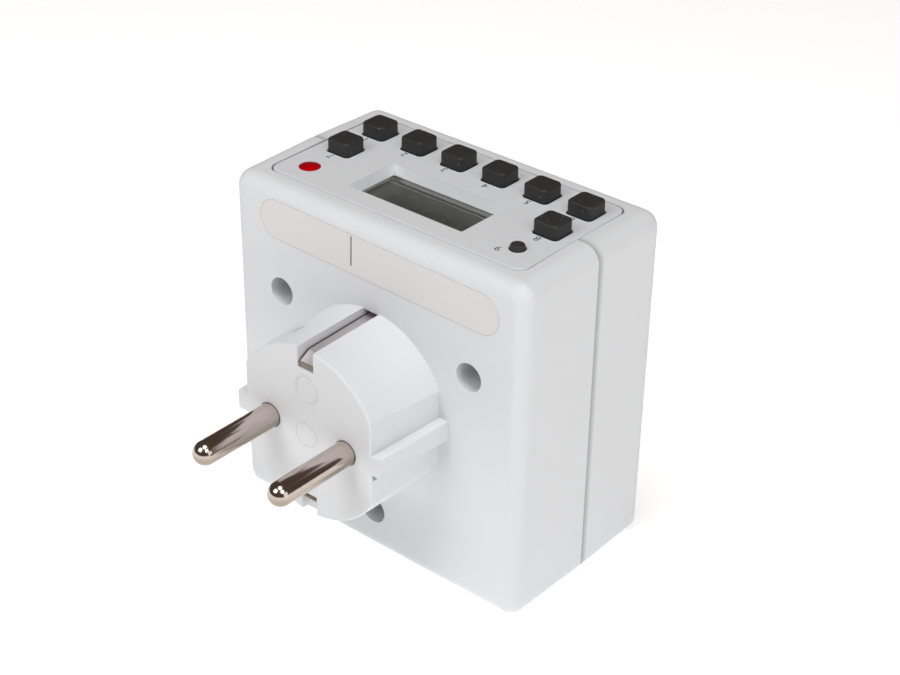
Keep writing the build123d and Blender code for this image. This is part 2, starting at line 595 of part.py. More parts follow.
# ================================================================ key panel
with BuildPart() as control_panel:
    with BuildSketch(Plane.XY.offset(PANEL_UNDER_Z)):
        RectangleRounded(PANEL_WIDTH, PANEL_DEPTH, PANEL_CORNER)
    extrude(amount=PANEL_THICKNESS)
    fillet(control_panel.faces().sort_by(Axis.Z)[-1].edges(), PANEL_EDGE)
    # hidden rim under the housing's top wall
    with BuildSketch(Plane.XY.offset(FLANGE_BOTTOM_Z)):
        RectangleRounded(
            PANEL_WIDTH + 2 * PANEL_FLANGE, PANEL_DEPTH + 2 * PANEL_FLANGE, PANEL_CORNER
        )
        RectangleRounded(
            PANEL_WIDTH - 2 * PANEL_FLANGE,
            PANEL_DEPTH - 2 * PANEL_FLANGE,
            PANEL_CORNER - PANEL_FLANGE,
            mode=Mode.SUBTRACT,
        )
    extrude(amount=FLANGE_THICKNESS)
    with BuildSketch(Plane.XY.offset(FLANGE_TOP_Z - PAST / 2)):
        RectangleRounded(PANEL_WIDTH, PANEL_DEPTH, PANEL_CORNER)
        RectangleRounded(
            PANEL_WIDTH - 2 * PANEL_FLANGE,
            PANEL_DEPTH - 2 * PANEL_FLANGE,
            PANEL_CORNER - PANEL_FLANGE,
            mode=Mode.SUBTRACT,
        )
    extrude(amount=PAST)
    # posts that the control board is screwed to
    with BuildSketch(Plane.XY.offset(CONTROL_BOARD_TOP_Z)):
        with GridLocations(2 * POST_X, 2 * POST_Y, 2, 2):
            Circle(POST_RADIUS)
    extrude(amount=PANEL_UNDER_Z - CONTROL_BOARD_TOP_Z)
    with BuildSketch(Plane.XY.offset(CONTROL_BOARD_TOP_Z)):
        with GridLocations(2 * POST_X, 2 * POST_Y, 2, 2):
            Circle(POST_HOLE_RADIUS)
    extrude(
        amount=SMALL_SCREW_LENGTH - BOARD_THICKNESS + SMALL_SCREW_END_GAP, mode=Mode.SUBTRACT
    )
    # holes for the keys, the reset button and the lamp, and the display's opening
    with BuildSketch(Plane.XY.offset(PANEL_UNDER_Z)):
        with Locations(KEY_CENTRES):
            RectangleRounded(
                KEY_WIDTH + 2 * KEY_HOLE_GAP, KEY_DEPTH + 2 * KEY_HOLE_GAP, KEY_CORNER
            )
        with Locations(RESET_CENTRE):
            Circle(RESET_HOLE_RADIUS)
        with Locations(LED_CENTRE):
            Circle(LED_HOLE_RADIUS)
        with Locations((WINDOW_X, WINDOW_Y)):
            RectangleRounded(WINDOW_WIDTH, WINDOW_DEPTH, WINDOW_CORNER)
    extrude(amount=PANEL_THICKNESS + PAST, mode=Mode.SUBTRACT)
keep(control_panel.part, "control_panel")

# ================================================================ keys
for number, centre in enumerate(KEY_CENTRES, start=1):
    with BuildPart() as key:
        with BuildSketch(Plane.XY.offset(KEY_BOTTOM_Z)):
            with Locations(centre):
                RectangleRounded(
                    KEY_WIDTH + 2 * KEY_FLANGE, KEY_DEPTH + 2 * KEY_FLANGE, KEY_CORNER
                )
        extrude(amount=KEY_FLANGE_THICKNESS)
        with BuildSketch(Plane.XY.offset(KEY_FLANGE_TOP_Z)):
            with Locations(centre):
                RectangleRounded(KEY_WIDTH, KEY_DEPTH, KEY_CORNER)
        extrude(amount=KEY_TOP_Z - KEY_FLANGE_TOP_Z)
        fillet(key.faces().sort_by(Axis.Z)[-1].edges(), KEY_TOP_EDGE)
    keep(key.part, f"key_{number}")

# ================================================================ reset button
with BuildPart() as reset_button:
    with BuildSketch(Plane.XY.offset(KEY_BOTTOM_Z)):
        with Locations(RESET_CENTRE):
            Circle(RESET_FLANGE_RADIUS)
    extrude(amount=KEY_FLANGE_THICKNESS)
    with BuildSketch(Plane.XY.offset(KEY_FLANGE_TOP_Z)):
        with Locations(RESET_CENTRE):
            Circle(RESET_RADIUS)
    extrude(amount=PANEL_TOP_Z - KEY_FLANGE_TOP_Z)
    with BuildSketch(Plane.XY.offset(PANEL_TOP_Z)):
        with Locations(RESET_CENTRE):
            Circle(RESET_RADIUS)
    with BuildSketch(Plane.XY.offset(PANEL_TOP_Z + RESET_PROUD)):
        with Locations(RESET_CENTRE):
            Circle(RESET_TIP_RADIUS)
    loft()
    fillet(reset_button.faces().sort_by(Axis.Z)[-1].edges(), RESET_TIP_EDGE)
keep(reset_button.part, "reset_button")

# ================================================================ lamp
with BuildPart() as status_led:
    with BuildSketch(Plane.XY.offset(LED_FLANGE_TOP_Z - LED_FLANGE_THICKNESS)):
        with Locations(LED_CENTRE):
            Circle(LED_FLANGE_RADIUS)
    extrude(amount=LED_FLANGE_THICKNESS)
    with BuildSketch(Plane.XZ.offset(-LED_CENTRE[1])):
        with BuildLine():
            Polyline(
                (LED_CENTRE[0], PANEL_TOP_Z + LED_PROUD),
                (LED_CENTRE[0], LED_FLANGE_TOP_Z),
                (LED_CENTRE[0] + LED_RADIUS, LED_FLANGE_TOP_Z),
                (LED_CENTRE[0] + LED_RADIUS, PANEL_TOP_Z),
            )
            RadiusArc(
                (LED_CENTRE[0] + LED_RADIUS, PANEL_TOP_Z),
                (LED_CENTRE[0], PANEL_TOP_Z + LED_PROUD),
                -LED_CROWN_RADIUS,
            )
        make_face()
    revolve(axis=Axis((LED_CENTRE[0], LED_CENTRE[1], 0), (0, 0, 1)))
keep(status_led.part, "status_led")

with BuildPart() as led_leads:
    with BuildSketch(Plane.XY.offset(CONTROL_BOARD_TOP_Z)):
        with Locations(LED_CENTRE):
            with GridLocations(LED_LEAD_PITCH, 0, 2, 1):
                Rectangle(LED_LEAD, LED_LEAD)
    extrude(amount=LED_FLANGE_TOP_Z - LED_FLANGE_THICKNESS - CONTROL_BOARD_TOP_Z)
keep(led_leads.part, "led_leads")

# ================================================================ display
with BuildPart() as display_window:
    with BuildSketch(Plane.XY.offset(PANEL_UNDER_Z - LENS_THICKNESS)):
        with Locations((WINDOW_X, WINDOW_Y)):
            RectangleRounded(
                WINDOW_WIDTH + 2 * LENS_MARGIN, WINDOW_DEPTH + 2 * LENS_MARGIN, WINDOW_CORNER
            )
    extrude(amount=LENS_THICKNESS)
keep(display_window.part, "display_window")

with BuildPart() as lcd_glass:
    # two bonded panes, the lower one with a contact ledge along each long side
    with BuildSketch(Plane.XY.offset(LCD_TOP_Z - LCD_THICKNESS)):
        with Locations((WINDOW_X, WINDOW_Y)):
            Rectangle(LCD_WIDTH, LCD_DEPTH)
    extrude(amount=LCD_THICKNESS / 2)
    with BuildSketch(Plane.XY.offset(LCD_TOP_Z - LCD_THICKNESS / 2)):
        with Locations((WINDOW_X, WINDOW_Y)):
            Rectangle(LCD_WIDTH, LCD_DEPTH - ZEBRA_INSET)
    extrude(amount=LCD_THICKNESS / 2)
keep(lcd_glass.part, "lcd_glass")

with BuildPart() as lcd_frame:
    with BuildSketch(Plane.XY.offset(CONTROL_BOARD_TOP_Z)):
        with Locations((WINDOW_X, WINDOW_Y)):
            Rectangle(LCD_FRAME_WIDTH, LCD_FRAME_DEPTH)
            Rectangle(LCD_WIDTH + 2 * LCD_GAP, LCD_DEPTH + 2 * LCD_GAP, mode=Mode.SUBTRACT)
    extrude(amount=LCD_TOP_Z - CONTROL_BOARD_TOP_Z)
keep(lcd_frame.part, "lcd_frame")

with BuildPart() as zebra_strips:
    with BuildSketch(Plane.XY.offset(CONTROL_BOARD_TOP_Z)):
        with Locations((WINDOW_X, WINDOW_Y)):
            with GridLocations(0, LCD_DEPTH - 2 * ZEBRA_INSET, 1, 2):
                Rectangle(LCD_WIDTH - 2 * ZEBRA_INSET, ZEBRA_DEPTH)
    extrude(amount=LCD_TOP_Z - LCD_THICKNESS - CONTROL_BOARD_TOP_Z)
keep(zebra_strips.part, "zebra_strips")

# ================================================================ keypad mat
with BuildPart() as keypad_mat:
    with BuildSketch(Plane.XY.offset(CONTROL_BOARD_TOP_Z)):
        RectangleRounded(MAT_WIDTH, MAT_DEPTH, PANEL_CORNER)
        with Locations((WINDOW_X, WINDOW_Y)):
            Rectangle(
                LCD_FRAME_WIDTH + 2 * MAT_LCD_CLEAR,
                LCD_FRAME_DEPTH + 2 * MAT_LCD_CLEAR,
                mode=Mode.SUBTRACT,
            )
        with GridLocations(2 * POST_X, 2 * POST_Y, 2, 2):
            Circle(POST_RADIUS + MAT_LCD_CLEAR, mode=Mode.SUBTRACT)
        with Locations(LED_CENTRE):
            Circle(MAT_LED_RADIUS, mode=Mode.SUBTRACT)
    extrude(amount=MAT_THICKNESS)
    for centre in [*KEY_CENTRES, RESET_CENTRE]:
        with BuildSketch(Plane.XY.offset(MAT_TOP_Z)):
            with Locations(centre):
                Circle(DOME_BASE_RADIUS)
        with BuildSketch(Plane.XY.offset(KEY_BOTTOM_Z)):
            with Locations(centre):
                Circle(DOME_TIP_RADIUS)
        loft()
keep(keypad_mat.part, "keypad_mat")

# ================================================================ control board and what it carries
with BuildPart() as control_board:
    with BuildSketch(Plane.XY.offset(CONTROL_BOARD_BOTTOM_Z)):
        Rectangle(CONTROL_BOARD_WIDTH, CONTROL_BOARD_DEPTH)
        with GridLocations(2 * POST_X, 2 * POST_Y, 2, 2):
            Circle(SMALL_SCREW_SHANK + FIT_GAP, mode=Mode.SUBTRACT)
    extrude(amount=BOARD_THICKNESS)
keep(control_board.part, "control_board")

with BuildPart() as control_board_screws:
    with BuildSketch(Plane.XY.offset(CONTROL_BOARD_BOTTOM_Z)):
        with GridLocations(2 * POST_X, 2 * POST_Y, 2, 2):
            Circle(SMALL_SCREW_HEAD)
    extrude(amount=-SMALL_SCREW_HEAD_HEIGHT)
    with BuildSketch(Plane.XY.offset(CONTROL_BOARD_BOTTOM_Z)):
        with GridLocations(2 * POST_X, 2 * POST_Y, 2, 2):
            Circle(SMALL_SCREW_SHANK)
    extrude(amount=SMALL_SCREW_LENGTH)
keep(control_board_screws.part, "control_board_screws")

with BuildPart() as timer_chip:
    with BuildSketch(Plane.XY.offset(CONTROL_BOARD_BOTTOM_Z)):
        with Locations(CHIP_CENTRE):
            Rectangle(CHIP_WIDTH, CHIP_WIDTH)
    extrude(amount=-CHIP_THICKNESS)
    chamfer(timer_chip.faces().sort_by(Axis.Z)[0].edges(), CHIP_BEVEL)
keep(timer_chip.part, "timer_chip")

with BuildPart() as backup_cell:
    with BuildSketch(Plane.XY.offset(CONTROL_BOARD_BOTTOM_Z)):
        with Locations(CELL_CENTRE):
            Circle(CELL_RADIUS)
    extrude(amount=-CELL_THICKNESS)
    fillet(backup_cell.faces().sort_by(Axis.Z)[0].edges(), CELL_EDGE)
keep(backup_cell.part, "backup_cell")

with BuildPart() as crystal:
    with BuildSketch(Plane.YZ.offset(CRYSTAL_CENTRE[0] - CRYSTAL_LENGTH / 2)):
        with Locations((CRYSTAL_CENTRE[1], CONTROL_BOARD_BOTTOM_Z - CRYSTAL_RADIUS)):
            Circle(CRYSTAL_RADIUS)
    extrude(amount=CRYSTAL_LENGTH)
keep(crystal.part, "crystal")

# ================================================================ power board and what it carries
with BuildPart() as power_board:
    board_middle_z = (POWER_BOARD_BOTTOM_Z + POWER_BOARD_TOP_Z) / 2
    with BuildSketch(facing_rear(POWER_BOARD_FRONT_Y)):
        with Locations((0, board_middle_z)):
            Rectangle(POWER_BOARD_WIDTH, POWER_BOARD_TOP_Z - POWER_BOARD_BOTTOM_Z)
        with Locations((0, POWER_BOARD_BOTTOM_Z)):
            Rectangle(
                TOWER_NOTCH_WIDTH, 2 * (TOWER_NOTCH_TOP_Z - POWER_BOARD_BOTTOM_Z), mode=Mode.SUBTRACT
            )
            Rectangle(
                STRIP_NOTCH_WIDTH, 2 * (STRIP_NOTCH_TOP_Z - POWER_BOARD_BOTTOM_Z), mode=Mode.SUBTRACT
            )
        with Locations(STANDOFFS):
            Circle(SMALL_SCREW_SHANK + FIT_GAP, mode=Mode.SUBTRACT)
    extrude(amount=BOARD_THICKNESS)
keep(power_board.part, "power_board")

with BuildPart() as power_board_screws:
    with BuildSketch(facing_rear(POWER_BOARD_FRONT_Y)):
        with Locations(STANDOFFS):
            Circle(SMALL_SCREW_HEAD)
    extrude(amount=-SMALL_SCREW_HEAD_HEIGHT)
    with BuildSketch(facing_rear(POWER_BOARD_FRONT_Y)):
        with Locations(STANDOFFS):
            Circle(SMALL_SCREW_SHANK)
    extrude(amount=SMALL_SCREW_LENGTH)
keep(power_board_screws.part, "power_board_screws")


blocks_on_board = (
    ("relay", RELAY_CENTRE, RELAY_SIZE, CASE_BEVEL),
    ("x2_capacitor", X2_CENTRE, X2_SIZE, CASE_BEVEL),
    ("rectifier", RECTIFIER_CENTRE, RECTIFIER_SIZE, SMALL_CASE_BEVEL),
)
for name, centre, size, bevel in blocks_on_board:
    with BuildPart() as block:
        with BuildSketch(facing_rear(POWER_BOARD_FRONT_Y)):
            with Locations(centre):
                Rectangle(size[0], size[2])
        extrude(amount=-size[1])
        chamfer(block.faces().sort_by(Axis.Y)[-1].edges(), bevel)
    keep(block.part, name)

with BuildPart() as smoothing_capacitor:
    with BuildSketch(facing_rear(POWER_BOARD_FRONT_Y)):
        with Locations(BULK_CENTRE):
            Circle(BULK_RADIUS)
    extrude(amount=-BULK_LENGTH)
    fillet(smoothing_capacitor.faces().sort_by(Axis.Y)[-1].edges(), BULK_EDGE)
keep(smoothing_capacitor.part, "smoothing_capacitor")

with BuildPart() as varistor:
    disc_middle_y = POWER_BOARD_FRONT_Y + VARISTOR_RADIUS + VARISTOR_STANDOFF
    with BuildSketch(Plane.YZ.offset(VARISTOR_CENTRE[0] - VARISTOR_THICKNESS / 2)):
        with Locations((disc_middle_y, VARISTOR_CENTRE[1])):
            Circle(VARISTOR_RADIUS)
    extrude(amount=VARISTOR_THICKNESS)
    fillet(varistor.edges(), VARISTOR_EDGE)
    with BuildSketch(facing_rear(POWER_BOARD_FRONT_Y)):
        with Locations(VARISTOR_CENTRE):
            with GridLocations(0, VARISTOR_LEAD_PITCH, 1, 2):
                Circle(LEAD_RADIUS)
    extrude(amount=-(VARISTOR_RADIUS + VARISTOR_STANDOFF))
keep(varistor.part, "varistor")

with BuildPart() as fuse_resistor:
    body_y = POWER_BOARD_FRONT_Y + FUSE_RADIUS
    with BuildSketch(Plane.YZ.offset(FUSE_CENTRE[0] - FUSE_LENGTH / 2)):
        with Locations((body_y, FUSE_CENTRE[1])):
            Circle(FUSE_RADIUS)
    extrude(amount=FUSE_LENGTH)
    fillet(fuse_resistor.edges().filter_by(GeomType.CIRCLE), FUSE_EDGE)
keep(fuse_resistor.part, "fuse_resistor")

# ================================================================ plug pins and their straps
for name, x in (("line", -PIN_X), ("neutral", PIN_X)):
    with BuildPart() as plug_pin:
        # head inside, root through the plug body, then the full-size pin with its round tip
        tip_y = PLUG_FACE_Y - PIN_LENGTH
        with BuildSketch(Plane.XY.offset(AXIS_Z)):
            with BuildLine():
                Polyline(
                    (x, tip_y),
                    (x, PIN_HEAD_FRONT_Y),
                    (x + PIN_HEAD_RADIUS, PIN_HEAD_FRONT_Y),
                    (x + PIN_HEAD_RADIUS, PIN_HEAD_REAR_Y),
                    (x + PIN_ROOT_RADIUS, PIN_HEAD_REAR_Y),
                    (x + PIN_ROOT_RADIUS, PLUG_FACE_Y),
                    (x + PIN_RADIUS, PLUG_FACE_Y),
                    (x + PIN_RADIUS, tip_y + PIN_RADIUS),
                )
                RadiusArc((x + PIN_RADIUS, tip_y + PIN_RADIUS), (x, tip_y), PIN_RADIUS)
            make_face()
        revolve(axis=Axis((x, 0, AXIS_Z), (0, 1, 0)))
    keep(plug_pin.part, f"plug_pin_{name}")

    with BuildPart() as strap:
        with BuildSketch(facing_rear(POWER_BOARD_REAR_Y)):
            strap_top_z = AXIS_Z + STRAP_TOP
            with Locations((x, (strap_top_z + STRAP_BOTTOM_Z) / 2)):
                RectangleRounded(STRAP_WIDTH, strap_top_z - STRAP_BOTTOM_Z, STRAP_CORNER)
        extrude(amount=STRAP_THICKNESS)
    keep(strap.part, f"{name}_strap")

    with BuildPart() as contact:
        # split sleeve, sprung open by an inserted pin, with a solder tail down to the board
        with BuildSketch(facing_rear(CONTACT_FRONT_Y)):
            with Locations((x, AXIS_Z)):
                Circle(CONTACT_INNER_RADIUS + CONTACT_THICKNESS)
                Circle(CONTACT_INNER_RADIUS, mode=Mode.SUBTRACT)
            with Locations((x, AXIS_Z + CONTACT_INNER_RADIUS)):
                Rectangle(CONTACT_SLIT, 2 * CONTACT_INNER_RADIUS, mode=Mode.SUBTRACT)
        extrude(amount=CONTACT_FRONT_Y - CONTACT_REAR_Y)
        tail_top_z = AXIS_Z - CONTACT_INNER_RADIUS - CONTACT_THICKNESS / 2
        with BuildSketch(facing_rear(CONTACT_REAR_Y + CONTACT_THICKNESS)):
            with Locations((x, (tail_top_z + STRAP_BOTTOM_Z) / 2)):
                Rectangle(CONTACT_TAIL_WIDTH, tail_top_z - STRAP_BOTTOM_Z)
        extrude(amount=CONTACT_THICKNESS)
    keep(contact.part, f"socket_contact_{name}")

# ================================================================ contact carrier
with BuildPart() as contact_carrier:
    with BuildSketch(facing_rear(CARRIER_FRONT_Y)):
        with Locations((0, AXIS_Z)):
            RectangleRounded(CARRIER_PLATE_WIDTH, CARRIER_PLATE_HEIGHT, CARRIER_CORNER)
    extrude(amount=CARRIER_THICKNESS)
    with BuildSketch(facing_rear(CARRIER_FRONT_Y)):
        with Locations((-PIN_X, AXIS_Z), (PIN_X, AXIS_Z)):
            Circle(CARRIER_TUBE_RADIUS)
    extrude(amount=CARRIER_FRONT_Y - CARRIER_TUBE_REAR_Y)
    # pivot stub for the shutter
    with BuildSketch(facing_rear(SHUTTER_FRONT_Y)):
        with Locations((0, AXIS_Z)):
            Circle(SHUTTER_PIVOT_RADIUS)
    extrude(amount=SHUTTER_FRONT_Y - CARRIER_FRONT_Y)
    # the sleeves' seats, narrowed at the front face to guide a pin
    with BuildSketch(facing_rear(CARRIER_FRONT_Y - CARRIER_THICKNESS)):
        with Locations((-PIN_X, AXIS_Z), (PIN_X, AXIS_Z)):
            Circle(CARRIER_TUBE_BORE)
    extrude(amount=CARRIER_FRONT_Y - CARRIER_TUBE_REAR_Y, mode=Mode.SUBTRACT)
    with BuildSketch(facing_rear(CARRIER_FRONT_Y + PAST)):
        with Locations((-PIN_X, AXIS_Z), (PIN_X, AXIS_Z)):
            Circle(PIN_HOLE_RADIUS)
        with Locations((0, AXIS_Z)):
            with GridLocations(2 * CARRIER_POST_X, 2 * CARRIER_POST_DZ, 2, 2):
                Circle(SMALL_SCREW_SHANK + FIT_GAP)
    extrude(amount=CARRIER_THICKNESS + 2 * PAST, mode=Mode.SUBTRACT)
keep(contact_carrier.part, "contact_carrier")

with BuildPart() as carrier_screws:
    with BuildSketch(facing_rear(CARRIER_FRONT_Y - CARRIER_THICKNESS)):
        with Locations((0, AXIS_Z)):
            with GridLocations(2 * CARRIER_POST_X, 2 * CARRIER_POST_DZ, 2, 2):
                Circle(SMALL_SCREW_HEAD)
    extrude(amount=SMALL_SCREW_HEAD_HEIGHT)
    with BuildSketch(facing_rear(CARRIER_FRONT_Y - CARRIER_THICKNESS)):
        with Locations((0, AXIS_Z)):
            with GridLocations(2 * CARRIER_POST_X, 2 * CARRIER_POST_DZ, 2, 2):
                Circle(SMALL_SCREW_SHANK)
    extrude(amount=-SMALL_SCREW_LENGTH)
keep(carrier_screws.part, "carrier_screws")

# ================================================================ shutter and its spring
with BuildPart() as socket_shutter:
    with BuildSketch(facing_rear(SHUTTER_FRONT_Y)):
        with Locations((0, AXIS_Z)):
            Circle(SHUTTER_HUB_RADIUS)
            Rectangle(2 * PIN_X, SHUTTER_LOBE_RADIUS)
        with Locations((-PIN_X, AXIS_Z), (PIN_X, AXIS_Z)):
            Circle(SHUTTER_LOBE_RADIUS)
        with Locations((0, AXIS_Z)):
            Circle(SHUTTER_BORE_RADIUS, mode=Mode.SUBTRACT)
    extrude(amount=SHUTTER_FRONT_Y - SHUTTER_REAR_Y)
keep(socket_shutter.part, "socket_shutter")

with BuildPart() as shutter_spring:
    # flat spring that hooks over the hub and leans on the shutter's left arm
    with BuildSketch(facing_rear(SHUTTER_FRONT_Y - SPRING_THICKNESS)):
        with BuildLine():
            FilletPolyline(
                *[(x, AXIS_Z + up) for x, up in (SPRING_TAIL, SPRING_OVER_HUB, SPRING_ON_ARM, SPRING_TIP)],
                radius=SPRING_BEND,
            )
            offset(amount=SPRING_THICKNESS / 2)
        make_face()
    extrude(amount=SPRING_WIDTH)
keep(shutter_spring.part, "shutter_spring")

# ================================================================ earth strips and their bridge
for name, side in (("upper", 1), ("lower", -1)):
    height = side_by_side(side)
    with BuildPart() as earth_strip:
        with BuildSketch(Plane.YZ):
            with BuildLine():
                FilletPolyline(*[(y, height(d)) for y, d in STRIP_ROUTE], radius=STRIP_BEND)
                offset(amount=STRIP_THICKNESS / 2, kind=Kind.INTERSECTION)
            make_face()
        extrude(amount=STRIP_WIDTH / 2, both=True)
    keep(earth_strip.part, f"earth_strip_{name}")

BRIDGE_HALF_HEIGHT = STRIP_HOUSING - STRIP_THICKNESS / 2
with BuildPart() as earth_bridge:
    with BuildSketch(facing_rear(BRIDGE_REAR_Y + BRIDGE_THICKNESS)):
        with Locations((0, AXIS_Z)):
            Rectangle(BRIDGE_WIDTH, 2 * BRIDGE_HALF_HEIGHT)
    extrude(amount=BRIDGE_THICKNESS)
keep(earth_bridge.part, "earth_bridge")

# ================================================================ ribbon between the boards
with BuildPart() as board_link:
    with BuildSketch(Plane.YZ.offset(LINK_X - LINK_WIDTH / 2)):
        with BuildLine():
            FilletPolyline(
                (LINK_Y, CONTROL_BOARD_BOTTOM_Z),
                (LINK_Y, LINK_FOOT_Z),
                (POWER_BOARD_FRONT_Y, LINK_FOOT_Z),
                radius=LINK_BEND,
            )
            offset(amount=LINK_THICKNESS / 2, kind=Kind.INTERSECTION)
        make_face()
    extrude(amount=LINK_WIDTH)
    # trimmed flush with both boards
    split(bisect_by=Plane.XY.offset(CONTROL_BOARD_BOTTOM_Z), keep=Keep.BOTTOM)
    split(bisect_by=Plane.XZ.offset(-POWER_BOARD_FRONT_Y), keep=Keep.BOTTOM)
keep(board_link.part, "board_link")

# ================================================================ screws
with BuildPart() as housing_screws:
    with BuildSketch(facing_rear(WELL_FLOOR_Y)):
        with Locations(SCREW_CENTRES):
            Circle(SCREW_HEAD_RADIUS)
    extrude(amount=SCREW_HEAD_HEIGHT)
    fillet(housing_screws.faces().filter_by(Axis.Y).group_by(Axis.Y)[0].edges(), SCREW_HEAD_EDGE)
    with BuildSketch(facing_rear(SCREW_TIP_Y)):
        with Locations(SCREW_CENTRES):
            Circle(SCREW_SHANK_RADIUS)
    extrude(amount=SCREW_TIP_Y - WELL_FLOOR_Y)
keep(housing_screws.part, "housing_screws")

print(len(finished), "pieces:", ", ".join(finished))
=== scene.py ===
# %% [markdown]
# A plug-in timer switch, finished in Blender. The moulded shells, the key panel, the keys, the
# pins and everything inside them arrive as fixed meshes in metres, each in its real place. This
# lesson gives each of them a procedural finish and models what is left: the printed figures,
# the label plate, the rings moulded on the plug's face and the screws in their wells.

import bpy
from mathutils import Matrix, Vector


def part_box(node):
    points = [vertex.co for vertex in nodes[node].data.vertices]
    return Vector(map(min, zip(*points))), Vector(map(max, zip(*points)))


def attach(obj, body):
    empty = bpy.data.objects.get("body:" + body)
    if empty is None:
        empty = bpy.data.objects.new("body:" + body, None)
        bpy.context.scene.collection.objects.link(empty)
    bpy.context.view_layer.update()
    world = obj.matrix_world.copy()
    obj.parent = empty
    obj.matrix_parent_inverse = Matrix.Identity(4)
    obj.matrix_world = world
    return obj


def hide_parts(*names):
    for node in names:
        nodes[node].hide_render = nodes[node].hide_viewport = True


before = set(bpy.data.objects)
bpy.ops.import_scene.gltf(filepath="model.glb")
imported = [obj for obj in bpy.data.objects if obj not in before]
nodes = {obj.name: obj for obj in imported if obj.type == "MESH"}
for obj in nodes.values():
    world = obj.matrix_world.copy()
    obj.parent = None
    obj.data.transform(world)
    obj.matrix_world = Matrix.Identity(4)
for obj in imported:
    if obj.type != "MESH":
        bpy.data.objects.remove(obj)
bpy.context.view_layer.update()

# %% [markdown]
# Blender counts in metres, and a timer switch is thought of in millimetres, so lengths are
# written as a number times MM. The heights and faces that new pieces sit on are read from the
# fixed meshes where they can be: a piece then follows if its carrier is ever moved.

# %% Tools and main places
from math import cos, pi, radians, sin

import bmesh
import bpy
from mathutils import Matrix, Vector

MM = 0.001
AXIS_Z = 36.4 * MM
REAR_Y = -20.4 * MM
PIN_LENGTH = 19.0 * MM
PLUG_FACE_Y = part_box("plug_pin_line")[0].y + PIN_LENGTH
PANEL_TOP_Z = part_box("control_panel")[1].z
print("panel top at", round(PANEL_TOP_Z / MM, 2), "mm, plug face at", round(PLUG_FACE_Y / MM, 2), "mm")

# %% [markdown]
# Shader maths reads best as plain arithmetic. A number that changes over a surface is wrapped in
# a small class whose operators add the Math nodes, so `1 - mask * 0.3` is two nodes and one
# short line. Building each node by hand would do the same in ten lines.


# %% Numbers that vary over a surface
class Field:
    """The output socket of a node, used like a number."""

    def __init__(self, tree, socket):
        self.tree = tree
        self.socket = socket

    def maths(self, operation, *values):
        node = self.tree.nodes.new("ShaderNodeMath")
        node.operation = operation
        for place, value in enumerate(values):
            if isinstance(value, Field):
                self.tree.links.new(value.socket, node.inputs[place])
            else:
                node.inputs[place].default_value = value
        return Field(self.tree, node.outputs[0])

    def __add__(self, other):
        return self.maths("ADD", self, other)

    def __radd__(self, other):
        return self.maths("ADD", other, self)

    def __sub__(self, other):
        return self.maths("SUBTRACT", self, other)

    def __rsub__(self, other):
        return self.maths("SUBTRACT", other, self)

    def __mul__(self, other):
        return self.maths("MULTIPLY", self, other)

    def __rmul__(self, other):
        return self.maths("MULTIPLY", other, self)

    def __lt__(self, other):
        return self.maths("LESS_THAN", self, other)

    def __gt__(self, other):
        return self.maths("GREATER_THAN", self, other)

    def size(self):
        return self.maths("ABSOLUTE", self)

    def wave(self):
        return self.maths("SINE", self)


# %% [markdown]
# A finish is one material. Every other node comes from a single method that takes the node's
# type, its settings and what goes into its sockets, and the patterns that come back often get a
# short method each. Patterns read Object coordinates: each mesh keeps its place in its vertices,
# so a millimetre of pattern is a millimetre of plastic on every piece and nothing stretches.


